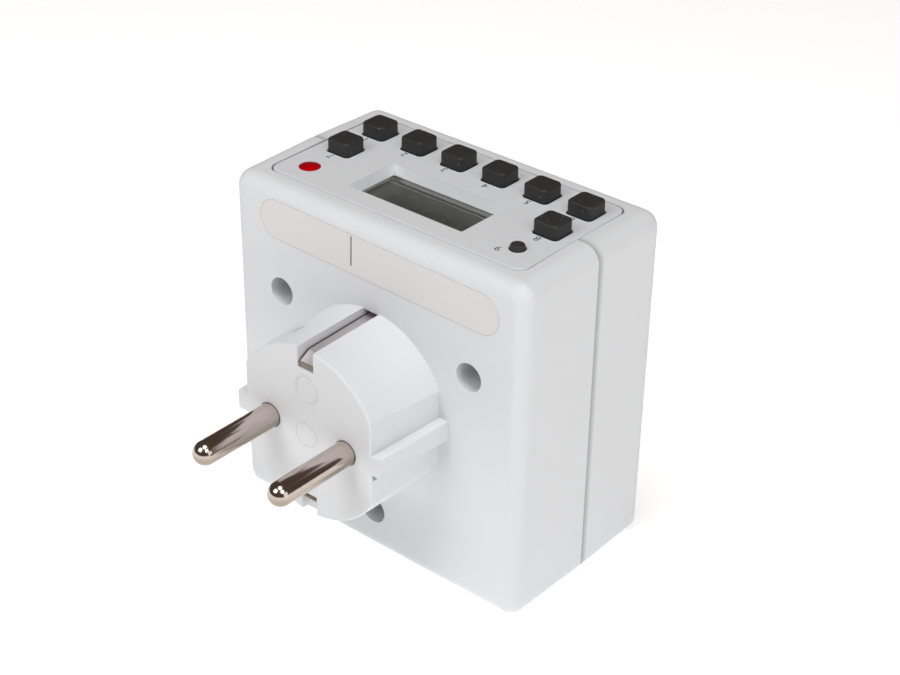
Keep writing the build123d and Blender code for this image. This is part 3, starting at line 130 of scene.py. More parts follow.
# %% A finish and its nodes
class Finish:
    """A material under construction, round its Principled shader."""

    def __init__(self, name, **constants):
        self.material = bpy.data.materials.new(name)
        self.material.use_nodes = True
        self.tree = self.material.node_tree
        self.shader = self.tree.nodes["Principled BSDF"]
        self.set(self.shader, constants)

    def set(self, node, sockets):
        for name, value in sockets.items():
            socket = node.inputs[name if isinstance(name, int) else name.replace("_", " ")]
            if isinstance(value, Field):
                self.tree.links.new(value.socket, socket)
            else:
                socket.default_value = value

    def node(self, kind, settings, sockets, output=0):
        node = self.tree.nodes.new(kind)
        for name, value in settings.items():
            setattr(node, name, value)
        self.set(node, sockets)
        return Field(self.tree, node.outputs[output])

    def use(self, **sockets):
        self.set(self.shader, sockets)

    def place(self, stretch=(1, 1, 1), centre=(0, 0, 0), turn=(0, 0, 0)):
        """Object coordinates, moved so that the centre is the origin, then stretched and turned."""
        here = self.node("ShaderNodeTexCoord", {}, {}, "Object")
        moved = self.node(
            "ShaderNodeVectorMath", {"operation": "SUBTRACT"}, {0: here, 1: centre}
        )
        return self.node(
            "ShaderNodeMapping", {}, {"Vector": moved, "Rotation": turn, "Scale": stretch}
        )

    def parts(self, vector):
        """The three coordinates of a vector."""
        first = self.node("ShaderNodeSeparateXYZ", {}, {"Vector": vector})
        return [Field(self.tree, output) for output in first.socket.node.outputs]

    def length(self, vector):
        return self.node("ShaderNodeVectorMath", {"operation": "LENGTH"}, {0: vector}, "Value")

    def cloud(self, scale, detail=2.0, **where):
        """Soft noise from 0 to 1, its scale in features per metre."""
        return self.node(
            "ShaderNodeTexNoise", {}, {"Vector": self.place(**where), "Scale": scale, "Detail": detail}
        )

    def cells(self, scale, **settings):
        """The distance to the nearest of many scattered points, in cell widths."""
        return self.node(
            "ShaderNodeTexVoronoi", settings, {"Vector": self.place(), "Scale": scale}
        )

    def specks(self, scale, size, patch_scale, level):
        """1 in a dot round some of the scattered points, 0 elsewhere."""
        dots = self.cells(scale) < size
        kept = self.cloud(patch_scale, 0.0) > level
        return dots * kept

    def band(self, value, low, high):
        """0 below low, 1 above high, smooth between."""
        return self.node(
            "ShaderNodeMapRange",
            {"interpolation_type": "SMOOTHSTEP"},
            {"Value": value, "From_Min": low, "From_Max": high},
        )

    def blend(self, share, first, second):
        """The first colour where the share is 0, the second where it is 1."""
        return self.node("ShaderNodeMix", {"data_type": "RGBA"}, {0: share, 6: first, 7: second}, 2)

    def relief(self, height, depth):
        """Bump from a height of 0 to 1, its depth in metres."""
        normal = self.node("ShaderNodeBump", {}, {"Height": height, "Distance": depth})
        self.use(Normal=normal)


def grey(value):
    return (value, value, value, 1)


def shaded(colour, factor):
    """The colour at a share of its brightness."""
    return tuple(channel * factor for channel in colour[:3]) + (1,)


# %% [markdown]
# The housing is injection-moulded white plastic from a lightly spark-eroded tool: satin, with a
# grain of about a quarter of a millimetre and a very faint flow mottle. A flat colour would look
# like paper, so fine noise goes to the bump and a broad one to colour and roughness. All moulded
# pieces share the recipe and differ in colour, gloss and grain.


# %% Moulded plastics
def moulded(name, colour, gloss, grain=4200, mottle=0.02):
    plastic = Finish(name, Specular_IOR_Level=0.45)
    broad = plastic.cloud(45, 3.0)
    fine = plastic.cloud(grain, 2.0)
    plastic.tone = plastic.blend(broad, shaded(colour, 1 - mottle), colour)
    plastic.use(Base_Color=plastic.tone, Roughness=gloss + broad * 0.06 + fine * 0.05)
    plastic.relief(fine, GRAIN_DEPTH)
    return plastic


GRAIN_DEPTH = 0.006 * MM
SHELL_WHITE = (0.725, 0.74, 0.76, 1)
PANEL_WHITE = (0.68, 0.695, 0.715, 1)
housing_white = moulded("housing_white", SHELL_WHITE, 0.42)
seam_white = moulded("seam_white", SHELL_WHITE, 0.42)
panel_white = moulded("panel_white", PANEL_WHITE, 0.46, grain=5200)
# Painted shade: the rings on the plug's face take the shell's white at nine tenths.
ring_shaded_white = moulded("ring_shaded_white", shaded(SHELL_WHITE, 0.90), 0.40)
carrier_white = moulded("carrier_white", (0.74, 0.735, 0.70, 1), 0.55, grain=3000)
component_black = moulded("component_black", (0.022, 0.022, 0.024, 1), 0.5, grain=6500, mottle=0.3)
print("moulded plastics:", housing_white.material.name, panel_white.material.name)

# %% [markdown]
# Where the two shells meet, the rear shell's rim casts a shadow on the front shell's bevel, and
# the gap behind it is dark. That shadow is painted: the front shell's own colour darkens over the
# first two millimetres behind the seam. Only the front shell has the bevel, hence a finish of its own.

# %% Painted shadow along the seam
SEAM_SHADOW_START = 0.2 * MM
SEAM_SHADOW_END = 1.9 * MM
SEAM_SHADOW_SHARE = 0.52
_, behind_seam, _ = seam_white.parts(seam_white.place())
out_of_shadow = seam_white.band(behind_seam, SEAM_SHADOW_START, SEAM_SHADOW_END)
seam_shadow_colour = shaded(SHELL_WHITE, SEAM_SHADOW_SHARE)
# Painted shadow: the front shell's colour darkens towards the seam.
seam_white.use(Base_Color=seam_white.blend(out_of_shadow, seam_shadow_colour, seam_white.tone))
print("painted seam shadow ends", round(SEAM_SHADOW_END / MM, 1), "mm behind the seam")

# %% [markdown]
# A small oval mark is moulded into the plug's flank. It belongs in the shell's own mesh, as a
# shallow dip, and the mesh is fixed here, so the shade inside the dip is painted instead. The
# colour darkens inside an ellipsoid: coordinates divided by its half sizes have a length of 1 on its
# surface.

# %% Painted shade of the mark on the plug's flank
FLANK_MARK = Vector((-8.0, -31.7, 52.7)) * MM
MARK_HALF_SIZE = Vector((1.2, 2.0, 1.2)) * MM
MARK_CORE = 0.55
MARK_PAINTED_SHADE = 0.74
mark_place = housing_white.place(centre=FLANK_MARK, stretch=[1 / size for size in MARK_HALF_SIZE])
outside_mark = housing_white.band(housing_white.length(mark_place), MARK_CORE, 1.0)
painted_mark_shade = shaded(SHELL_WHITE, MARK_PAINTED_SHADE)
# Painted shade of the dip: darker inside the ellipsoid.
housing_white.use(Base_Color=housing_white.blend(outside_mark, painted_mark_shade, housing_white.tone))
print("mark on the flank", round(2 * MARK_HALF_SIZE.y / MM, 1), "mm long")

# %% [markdown]
# The walls of the recess round the display look brighter than a hole of that depth gets from
# these lights. That light is painted: the walls alone, picked by their place, get a lighter colour
# and a faint glow.

# %% Painted light in the display's bezel
BEZEL_PAINTED_WHITE = grey(0.94)
BEZEL_PAINTED_GLOW = (0.13, 0.14, 0.155, 1)
BELOW_PANEL_TOP = -0.04 * MM
window_low, window_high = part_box("display_window")
window_middle = (window_low + window_high) / 2
window_middle.z = PANEL_TOP_Z
bezel_x, bezel_y, bezel_z = panel_white.parts(panel_white.place(centre=window_middle))
in_length = bezel_x.size() < (window_high.x - window_low.x) / 2
in_width = bezel_y.size() < (window_high.y - window_low.y) / 2
bezel = in_length * in_width * (bezel_z < BELOW_PANEL_TOP)
# Painted light: the recess walls are lighter and glow faintly.
panel_white.use(
    Base_Color=panel_white.blend(bezel, panel_white.tone, BEZEL_PAINTED_WHITE),
    Emission_Color=panel_white.blend(bezel, grey(0.0), BEZEL_PAINTED_GLOW),
    Emission_Strength=1.0,
)
print("bezel", round((window_high.x - window_low.x) / MM, 1), "mm long")

# %% [markdown]
# The keys and the reset button are nearly black rubber-feel caps with a fine matte tooth, and a
# few specks of lint sit on them. The specks come from a cell pattern: a threshold on the distance
# to the nearest point makes dots, and a second one, on soft noise, keeps only some of them.


# %% Keys
def cap_black(name, tone):
    cap = Finish(name, Specular_IOR_Level=0.4)
    tooth = cap.cloud(5200, 3.0)
    wear = cap.cloud(260, 3.0)
    lint = cap.specks(900, 0.085, 330, 0.47)
    rubber = cap.blend(wear, grey(tone), grey(tone * 1.35))
    cap.use(
        Base_Color=cap.blend(lint, rubber, LINT_GREY),
        Roughness=0.44 + tooth * 0.12 + wear * 0.08,
    )
    cap.relief(tooth, TOOTH_DEPTH)
    return cap


LINT_GREY = grey(0.30)
TOOTH_DEPTH = 0.012 * MM
key_black = cap_black("key_black", 0.021)
reset_black = cap_black("reset_black", 0.026)
print("key finishes:", key_black.material.name, reset_black.material.name)

# %% [markdown]
# The lamp is a diffused red lens that is off. It is darkest where the light enters and brightest
# on the side away from it, because the light gathers in the far half of the lens, so the colour
# runs across it. The flange under the panel is the same resin.

# %% Lamp
LAMP = Vector((-25.0, -10.2, 72.35)) * MM
LAMP_RADIUS = 2.0 * MM
LAMP_TURN = radians(28)
LENS_DARK = (0.25, 0.0, 0.003, 1)
LENS_BRIGHT = (0.50, 0.0, 0.004, 1)
lamp_red = Finish("lamp_red", Specular_IOR_Level=0.08)
lens_place = lamp_red.place(centre=LAMP, turn=(0, 0, LAMP_TURN), stretch=[1 / LAMP_RADIUS] * 3)
across, _, _ = lamp_red.parts(lens_place)
haze = lamp_red.cloud(900, 2.0)
run = lamp_red.band(across + haze * 0.3, -1.0, 1.2)
lamp_red.use(
    Base_Color=lamp_red.blend(run, LENS_DARK, LENS_BRIGHT),
    Roughness=0.22 + haze * 0.1,
)
print("lamp", round(2 * LAMP_RADIUS / MM, 1), "mm across")

# %% [markdown]
# The display is a liquid crystal cell. Off, it is a dark grey-olive film with a lighter hairline
# just inside its edge, where the two panes are sealed, and a little dust lies on it. The
# hairline is drawn by the distance from the cell's middle, so it stays in its place. Towards one
# end the film carries painted light, a lighter tone that fades over about five millimetres.

# %% Display
SEAL_START = 5.0 * MM
SEAL_FULL = 5.15 * MM
SEAL_END = 5.35 * MM
PAINTED_LIGHT_START = -14.1 * MM
PAINTED_LIGHT_END = -9.0 * MM
FILM_DARK = (0.029, 0.029, 0.026, 1)
FILM_LIGHT = (0.036, 0.036, 0.033, 1)
FILM_PAINTED_LIGHT = (0.16, 0.16, 0.15, 1)
SEAL_GREY = (0.34, 0.34, 0.33, 1)
lcd_low, lcd_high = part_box("lcd_glass")
lcd_film = Finish("lcd_film", Specular_IOR_Level=0.3)
along, over, _ = lcd_film.parts(lcd_film.place(centre=(lcd_low + lcd_high) / 2))
seal = lcd_film.band(over, SEAL_START, SEAL_FULL) * (over < SEAL_END)
side_painted_light = 1 - lcd_film.band(along, PAINTED_LIGHT_START, PAINTED_LIGHT_END)
mist = lcd_film.cloud(120, 3.0)
dust = lcd_film.specks(420, 0.05, 260, 0.58)
film = lcd_film.blend(mist, FILM_DARK, FILM_LIGHT)
# Painted light towards one end of the film.
film = lcd_film.blend(side_painted_light * 0.2, film, FILM_PAINTED_LIGHT)
film = lcd_film.blend(seal * 0.55 + dust, film, SEAL_GREY)
lcd_film.use(Base_Color=film, Roughness=0.24 + mist * 0.08)
print("display", round((lcd_high.x - lcd_low.x) / MM, 1), "mm wide")

# %% [markdown]
# A clear window covers the display, slightly smeared. Refracting glass needs many more samples
# to come out clean, so the window is a thin layer with a very low alpha and a high gloss.

# %% Window
window_clear = Finish(
    "window_clear", Base_Color=(0.25, 0.27, 0.26, 1), IOR=1.49, Specular_IOR_Level=0.35
)
smear = window_clear.cloud(160, 4.0)
window_clear.use(Alpha=0.05 + smear * 0.015, Roughness=0.03 + smear * 0.06)
print("window", round((window_high.y - window_low.y) / MM, 1), "mm deep")

# %% [markdown]
# The pins and earth strips are brass with a bright nickel plate. Real pins show lengthwise draw
# lines, which are noise squeezed along the pin, and a warm tint. The strips are stamped from the
# same stock, rolled along their length. The contacts inside are bare brass, and the screws are
# steel with a duller zinc plate.


# %% Plated and bare metal
def drawn_metal(name, colour, rough, stretch, tarnish, lines=0.004 * MM):
    metal = Finish(name, Metallic=1.0)
    grain = metal.cloud(2600, 3.0, stretch=stretch)
    patches = metal.cloud(140, 4.0)
    metal.tone = metal.blend(patches, colour, shaded(colour, 1 - tarnish))
    metal.use(Base_Color=metal.tone, Roughness=rough + grain * 0.05 + patches * 0.05)
    metal.relief(grain, lines)
    return metal


ALONG_Y = (1, 0.02, 1)
ALONG_Z = (1, 1, 0.03)
EVEN = (1, 1, 1)
pin_nickel = drawn_metal("pin_nickel", (0.69, 0.60, 0.555, 1), 0.10, ALONG_Y, 0.10)
strip_nickel = drawn_metal("strip_nickel", (0.80, 0.74, 0.76, 1), 0.40, ALONG_Y, 0.15)
contact_brass = drawn_metal("contact_brass", (0.72, 0.53, 0.25, 1), 0.26, ALONG_Z, 0.25)
screw_steel = drawn_metal("screw_steel", (0.56, 0.56, 0.57, 1), 0.28, EVEN, 0.3, 0.003 * MM)
print("metals:", pin_nickel.material.name, strip_nickel.material.name, contact_brass.material.name)

# %% [markdown]
# The pins are painted darker along their underside: a painted reflection. The strips get a
# painted shade along one long edge, where the groove's wall shades them, and bare brass at their
# sheared end, which never had any plating. Each second colour is blended in by height on the pins
# and by place on the strips.

# %% Painted reflection and shade on the plated metal
REFLECTION_BELOW = -0.6 * MM
BRIGHT_ABOVE = 1.5 * MM
SHADED_EDGE_X = -1.5 * MM
SHEARED_END = 0.3 * MM
PIN_PAINTED_REFLECTION = (0.36, 0.305, 0.25, 1)
EDGE_PAINTED_SHADE = (0.09, 0.075, 0.07, 1)
END_BRASS = (0.32, 0.26, 0.19, 1)
# Painted reflection: the pins' undersides are darker.
_, _, pin_height = pin_nickel.parts(pin_nickel.place(centre=(0, 0, AXIS_Z)))
upper_pin_share = pin_nickel.band(pin_height, REFLECTION_BELOW, BRIGHT_ABOVE)
pin_nickel.use(Base_Color=pin_nickel.blend(upper_pin_share, PIN_PAINTED_REFLECTION, pin_nickel.tone))

strip_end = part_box("earth_strip_upper")[0].y
strip_x, strip_y, _ = strip_nickel.parts(strip_nickel.place(centre=(0, strip_end, 0)))
# Painted shade along the strip's edge at the groove's wall; bare brass at its sheared end.
shaded_edge = strip_nickel.blend(strip_x < SHADED_EDGE_X, strip_nickel.tone, EDGE_PAINTED_SHADE)
shaded_edge_and_brass_end = strip_nickel.blend(strip_y < SHEARED_END, shaded_edge, END_BRASS)
strip_nickel.use(Base_Color=shaded_edge_and_brass_end)
print("strips end at", round(strip_end / MM, 1), "mm")

# %% [markdown]
# Inside, the boards are glass-fibre laminate under green solder mask. The copper shows through
# as slightly lighter tracks, which a cell pattern with straight distances draws well: its edges
# run square, as tracks do.

# %% Boards
MASK_DARK = (0.012, 0.105, 0.030, 1)
MASK_LIGHT = (0.018, 0.130, 0.040, 1)
OVER_COPPER = (0.045, 0.22, 0.075, 1)
board_green = Finish("board_green", Specular_IOR_Level=0.5)
tracks = board_green.cells(330, distance="CHEBYCHEV")
copper = board_green.band(tracks, 0.30, 0.34) * (1 - board_green.band(tracks, 0.44, 0.48))
weave = board_green.cloud(2400, 1.0)
solder_mask = board_green.blend(weave, MASK_DARK, MASK_LIGHT)
board_green.use(
    Base_Color=board_green.blend(copper, solder_mask, OVER_COPPER),
    Roughness=0.28 + weave * 0.12,
)
board_green.relief(copper, 0.03 * MM)
print("boards:", board_green.material.name)

# %% [markdown]
# The keypad mat is grey silicone with a powdery bloom, and a little light sinks into it. The
# ribbon between the boards is a row of moulded cores, the first one red: a sine across it gives
# the cores their relief, because a real ribbon is round over each wire.

# %% Silicone and ribbon
CORE_PITCH = 0.8 * MM
mat_silicone = Finish("mat_silicone", Specular_IOR_Level=0.35, Subsurface_Weight=0.1)
bloom = mat_silicone.cloud(300, 4.0)
powder = mat_silicone.cloud(5000, 2.0)
mat_silicone.use(
    Base_Color=mat_silicone.blend(bloom, grey(0.40), grey(0.46)), Roughness=0.55 + bloom * 0.15
)
mat_silicone.relief(powder, 0.01 * MM)

ribbon_grey = Finish("ribbon_grey", Specular_IOR_Level=0.45)
link_low, link_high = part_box("board_link")
sideways, _, _ = ribbon_grey.parts(ribbon_grey.place(centre=link_low))
cores = (sideways * (2 * pi / CORE_PITCH)).wave() * 0.5 + 0.5
ribbon_grey.use(
    Base_Color=ribbon_grey.blend(sideways < CORE_PITCH, grey(0.36), (0.45, 0.03, 0.03, 1)),
    Roughness=0.42 + cores * 0.1,
)
ribbon_grey.relief(cores, 0.1 * MM)
print("ribbon", round((link_high.x - link_low.x) / MM, 1), "mm wide")

# %% [markdown]
# The parts on the power board wear the colours that such parts have: a yellow film capacitor
# box, a blue dipped varistor disc, a grey-green fusible resistor. Dipped resin is glossy and
# uneven, so it gets a low roughness and a slow bump.


# %% Dipped and cast resins
def resin(name, colour, rough, swell):
    cast = Finish(name, Specular_IOR_Level=0.5)
    slow = cast.cloud(350, 2.0)
    dots = cast.cloud(3500, 2.0)
    cast.use(Base_Color=cast.blend(slow, colour, shaded(colour, 0.82)), Roughness=rough + dots * 0.08)
    cast.relief(slow, swell)
    return cast


capacitor_yellow = resin("capacitor_yellow", (0.62, 0.40, 0.045, 1), 0.30, 0.01 * MM)
varistor_blue = resin("varistor_blue", (0.02, 0.09, 0.33, 1), 0.18, 0.08 * MM)
resistor_grey = resin("resistor_grey", (0.22, 0.26, 0.22, 1), 0.45, 0.03 * MM)
print("resins:", capacitor_yellow.material.name, varistor_blue.material.name)

# %% [markdown]
# Each fixed mesh takes its finish by name. The mesh itself is never touched: only the material
# in its slot changes.

# %% Finishes on the fixed meshes
FINISHES = {
    housing_white: ["rear_shell"],
    seam_white: ["front_shell"],
    panel_white: ["control_panel"],
    key_black: [f"key_{number}" for number in range(1, 9)],
    reset_black: ["reset_button"],
    lamp_red: ["status_led"],
    window_clear: ["display_window"],
    lcd_film: ["lcd_glass"],
    carrier_white: ["lcd_frame", "contact_carrier", "socket_shutter"],
    mat_silicone: ["keypad_mat", "zebra_strips"],
    board_green: ["control_board", "power_board"],
    pin_nickel: ["plug_pin_line", "plug_pin_neutral"],
    strip_nickel: ["earth_strip_upper", "earth_strip_lower"],
    contact_brass: [
        "line_strap",
        "neutral_strap",
        "socket_contact_line",
        "socket_contact_neutral",
        "earth_bridge",
    ],
    screw_steel: [
        "housing_screws",
        "control_board_screws",
        "power_board_screws",
        "carrier_screws",
        "shutter_spring",
        "led_leads",
        "crystal",
        "backup_cell",
    ],
    component_black: ["relay", "rectifier", "timer_chip", "smoothing_capacitor"],
    capacitor_yellow: ["x2_capacitor"],
    varistor_blue: ["varistor"],
    resistor_grey: ["fuse_resistor"],
    ribbon_grey: ["board_link"],
}
finished = []
for finish, names in FINISHES.items():
    for name in names:
        for material_slot in nodes[name].material_slots:
            material_slot.material = finish.material
        finished.append(name)
print(len(finished), "meshes finished, left over:", sorted(set(nodes) - set(finished)))

# %% [markdown]
# New pieces are modelled as by hand: a primitive at its size, shaped in edit mode. Operators act
# on everything selected, so each piece starts with nothing selected, and faces or edges are then
# picked by where they are or which way they point.


# %% Modelling helpers
def start():
    bpy.ops.object.select_all(action="DESELECT")


def slab(width, depth, height):
    """A box of that size about the origin, active and ready to be shaped."""
    start()
    bpy.ops.mesh.primitive_cube_add(size=1)
    block = bpy.context.object
    block.scale = (width, depth, height)
    bpy.ops.object.transform_apply(location=False, rotation=False, scale=True)
    return block


def edit(kind):
    bpy.ops.object.mode_set(mode="EDIT")
    bpy.ops.mesh.select_mode(type=kind)
    bpy.ops.mesh.select_all(action="DESELECT")


def pick(what, test):
    """Selects the faces or edges of the mesh in edit mode that pass the test."""
    mesh = bmesh.from_edit_mesh(bpy.context.object.data)
    mesh.normal_update()
    for item in getattr(mesh, what):
        if test(item):
            item.select_set(True)
    bmesh.update_edit_mesh(bpy.context.object.data)


def run_in_y(edge):
    """How far an edge runs from front to back."""
    return abs(edge.verts[0].co.y - edge.verts[1].co.y)


def done(name, finish):
    """Puts the active piece's place into its mesh, names it and joins it to the body."""
    if bpy.context.object.mode == "EDIT":
        bpy.ops.object.mode_set(mode="OBJECT")
    piece = bpy.context.object
    bpy.ops.object.transform_apply(location=True, rotation=True, scale=True)
    piece.name = name
    piece.data.name = name
    if not piece.data.materials:
        piece.data.materials.append(finish.material)
    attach(piece, "body")
    print(name, "has", len(piece.data.polygons), "faces")
    return piece


# %% [markdown]
# The label is a satin film with a fine fibre and a slightly warm white, its border and its rule
# are printed. Printed ink lies unevenly, so both darks are blends of two greys and not one flat
# tone.

# %% Label finishes
label_film = Finish("label_film", Specular_IOR_Level=0.5)
fibre = label_film.cloud(1500, 4.0, stretch=(0.4, 1, 1))
paleness = label_film.cloud(60, 2.0)
label_film.use(
    Base_Color=label_film.blend(paleness, (0.70, 0.688, 0.69, 1), (0.725, 0.712, 0.714, 1)),
    Roughness=0.34 + fibre * 0.1,
)
label_film.relief(fibre, 0.004 * MM)

label_border = Finish("label_border", Specular_IOR_Level=0.4)
border_wear = label_border.cloud(700, 3.0)
label_border.use(Base_Color=label_border.blend(border_wear, grey(0.44), grey(0.56)), Roughness=0.5)

print_ink = Finish("print_ink", Specular_IOR_Level=0.35)
ink_patches = print_ink.cloud(2200, 3.0)
print_ink.use(
    Base_Color=print_ink.blend(ink_patches, grey(0.055), grey(0.12)), Roughness=0.5 + ink_patches * 0.1
)
print("label finishes:", label_film.material.name, label_border.material.name, print_ink.material.name)

# %% [markdown]
# The label on the rear face is a thin plate with full round ends and a hairline border, stuck on
# a touch askew. It stays bare but for one upright rule. It starts as a slab: bevelling its four
# short edges by half its height gives the round ends, and an inset of the front face leaves the
# border as a ring of its own faces, so it can take a darker finish.

# %% Label
LABEL = Vector((0.9 * MM, REAR_Y, 64.7 * MM))
LABEL_TILT = radians(1.2)
LABEL_LENGTH = 58.3 * MM
LABEL_HEIGHT = 8.35 * MM
LABEL_THICKNESS = 0.10 * MM
LABEL_BORDER = 0.13 * MM
END_FLAT = 0.002 * MM
FACING = 0.9
label = slab(LABEL_LENGTH, LABEL_THICKNESS, LABEL_HEIGHT)
label.data.materials.append(label_film.material)
label.data.materials.append(label_border.material)
edit("EDGE")
pick("edges", lambda e: run_in_y(e) > LABEL_THICKNESS / 2)
bpy.ops.mesh.bevel(offset=LABEL_HEIGHT / 2 - END_FLAT, segments=14)
edit("FACE")
pick("faces", lambda f: f.normal.y < -FACING)
label.active_material_index = 1
bpy.ops.object.material_slot_assign()
bpy.ops.mesh.inset(thickness=LABEL_BORDER)
label.active_material_index = 0
bpy.ops.object.material_slot_assign()
bpy.ops.object.mode_set(mode="OBJECT")
label.rotation_euler = (0, LABEL_TILT, 0)
label.location = LABEL - Vector((0, LABEL_THICKNESS / 2, 0))
done("rating_label", label_film)

# %% [markdown]
# The rule on the label is printed: a strip only a few hundredths of a millimetre thick, with its
# corners rounded like a pen stroke. It is a piece of its own, so that it stands on the label's
# face as ink does.

# %% Rule on the label
RULE = Vector((-4.9, 0, 65.5)) * MM
RULE_WIDTH = 0.26 * MM
RULE_HEIGHT = 6.2 * MM
RULE_THICKNESS = 0.03 * MM
RULE_CORNER = 0.12 * MM
RULE_PROUD = 0.01 * MM
rule = slab(RULE_WIDTH, RULE_THICKNESS, RULE_HEIGHT)
edit("EDGE")
pick("edges", lambda e: run_in_y(e) > RULE_THICKNESS / 2)
bpy.ops.mesh.bevel(offset=RULE_CORNER, segments=4)
bpy.ops.object.mode_set(mode="OBJECT")
rule.rotation_euler = (0, LABEL_TILT, 0)
rule.location = RULE + Vector((0, LABEL.y - LABEL_THICKNESS - RULE_PROUD, 0))
done("label_rule", print_ink)

# %% [markdown]
# The figures beside the keys are tampo-printed: a film of dark ink on the panel. Text objects
# give true letterforms, and a text is turned into a mesh before its place is applied. They read
# from the socket's side, so each is turned half round, and they are joined into one piece.

# %% Figures at the keys
FIGURE_SIZE = 2.3 * MM
FIGURE_FILM = 0.012 * MM
FIGURE_LIFT = 0.8
FIGURE_FROM_KEY_X = -0.4 * MM
FIGURE_FROM_KEY_Y = -3.85 * MM
RESET_FIGURE = (22.4 * MM, -11.7 * MM)
MERGE_DISTANCE = 0.0005 * MM
figure_places = {"9": RESET_FIGURE}
for number in range(1, 9):
    key_low, key_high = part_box(f"key_{number}")
    figure_places[str(number)] = (
        (key_low.x + key_high.x) / 2 + FIGURE_FROM_KEY_X,
        (key_low.y + key_high.y) / 2 + FIGURE_FROM_KEY_Y,
    )
figures = []
for figure, (x, y) in figure_places.items():
    start()
    bpy.ops.object.text_add()
    text = bpy.context.object
    text.data.body = figure
    text.data.size = FIGURE_SIZE
    text.data.align_x = "CENTER"
    text.data.align_y = "CENTER"
    text.data.extrude = FIGURE_FILM
    bpy.ops.object.convert(target="MESH")
    text = bpy.context.object
    text.rotation_euler = (0, 0, pi)
    text.location = (x, y, PANEL_TOP_Z + FIGURE_FILM * FIGURE_LIFT)
    bpy.ops.object.transform_apply(location=True, rotation=True, scale=True)
    figures.append(text)
start()
for text in figures:
    text.select_set(True)
bpy.context.view_layer.objects.active = figures[0]
bpy.ops.object.join()
edit("VERT")
bpy.ops.mesh.select_all(action="SELECT")
bpy.ops.mesh.remove_doubles(threshold=MERGE_DISTANCE)
bpy.ops.mesh.normals_make_consistent(inside=False)
done("key_figures", print_ink)

# %% [markdown]
# Two faint rings are moulded on the plug's face, where the tool has round inserts. Each is a low
# band, so a ring primitive is squeezed to a flatter section and sunk halfway into the face. The
# rings take the shell's white at nine tenths: a painted shade, so the low relief shows.

# %% Rings on the plug's face
RINGS = {
    "face_ring_upper": (0.2, 46.1, 2.72, 0.26),
    "face_ring_middle": (-0.3, 36.0, 2.55, 0.14),
}
RING_SQUEEZE = 0.6
for name, (x, z, radius, half_width) in RINGS.items():
    start()
    bpy.ops.mesh.primitive_torus_add(
        major_radius=radius * MM,
        minor_radius=half_width * MM,
        major_segments=72,
        minor_segments=12,
    )
    ring = bpy.context.object
    edit("VERT")
    bpy.ops.mesh.select_all(action="SELECT")
    bpy.ops.transform.resize(value=(1, 1, RING_SQUEEZE))
    bpy.ops.object.mode_set(mode="OBJECT")
    bpy.ops.object.shade_smooth()
    ring.rotation_euler = (pi / 2, 0, 0)
    ring.location = (x * MM, PLUG_FACE_Y, z * MM)
    done(name, ring_shaded_white)

# %% [markdown]
# Three screws hold the shells together. Each has a pan head, seen deep in its well, and a thread.
# The head is a cylinder with a soft bevel. The shank grows out of the head's underside by three
# extrusions for each turn of the thread: one swells, one keeps its width as the crest, and one
# shrinks back. That makes rings at the thread's pitch, which stand in for the real helix.

# %% One screw
HEAD_RADIUS = 2.6 * MM
HEAD_HEIGHT = 2.0 * MM
HEAD_CROWN = 0.9 * MM
NEAR_HEAD_TOP = 0.9 * HEAD_HEIGHT
SHANK_RADIUS = 1.12 * MM
THREAD_RADIUS = 1.4 * MM
THREAD_PITCH = 0.9 * MM
THREAD_TURNS = 13
FLANK_SHARE = 0.42
CREST_SHARE = 0.16
TIP_LENGTH = 1.2 * MM
TIP_TAPER = 0.3
start()
bpy.ops.mesh.primitive_cylinder_add(
    vertices=48, radius=HEAD_RADIUS, depth=HEAD_HEIGHT, location=(0, 0, HEAD_HEIGHT / 2)
)
bpy.ops.object.transform_apply(location=True, rotation=True, scale=True)
screw = bpy.context.object
edit("EDGE")
pick("edges", lambda e: min(v.co.z for v in e.verts) > NEAR_HEAD_TOP)
bpy.ops.mesh.bevel(offset=HEAD_CROWN, segments=6)
edit("FACE")
pick("faces", lambda f: f.normal.z < -FACING)
bpy.ops.mesh.inset(thickness=HEAD_RADIUS - SHANK_RADIUS)
swell = THREAD_RADIUS / SHANK_RADIUS
for turn in range(THREAD_TURNS):
    for share, factor in ((FLANK_SHARE, swell), (CREST_SHARE, 1), (FLANK_SHARE, 1 / swell)):
        bpy.ops.mesh.extrude_region_move(
            TRANSFORM_OT_translate={"value": (0, 0, -share * THREAD_PITCH)}
        )
        bpy.ops.transform.resize(value=(factor, factor, 1))
bpy.ops.mesh.extrude_region_move(TRANSFORM_OT_translate={"value": (0, 0, -TIP_LENGTH)})
bpy.ops.transform.resize(value=(TIP_TAPER, TIP_TAPER, 1))
bpy.ops.object.mode_set(mode="OBJECT")
print("screw length", round(screw.dimensions.z / MM, 1), "mm")

# %% [markdown]
# The head's cross recess is pressed in by a pointed punch, so it narrows downwards. Two tapered
# blades, one across the other, are taken away by a Boolean, because pushing faces in would need
# a cross among the head's faces first, and its top is one round face.

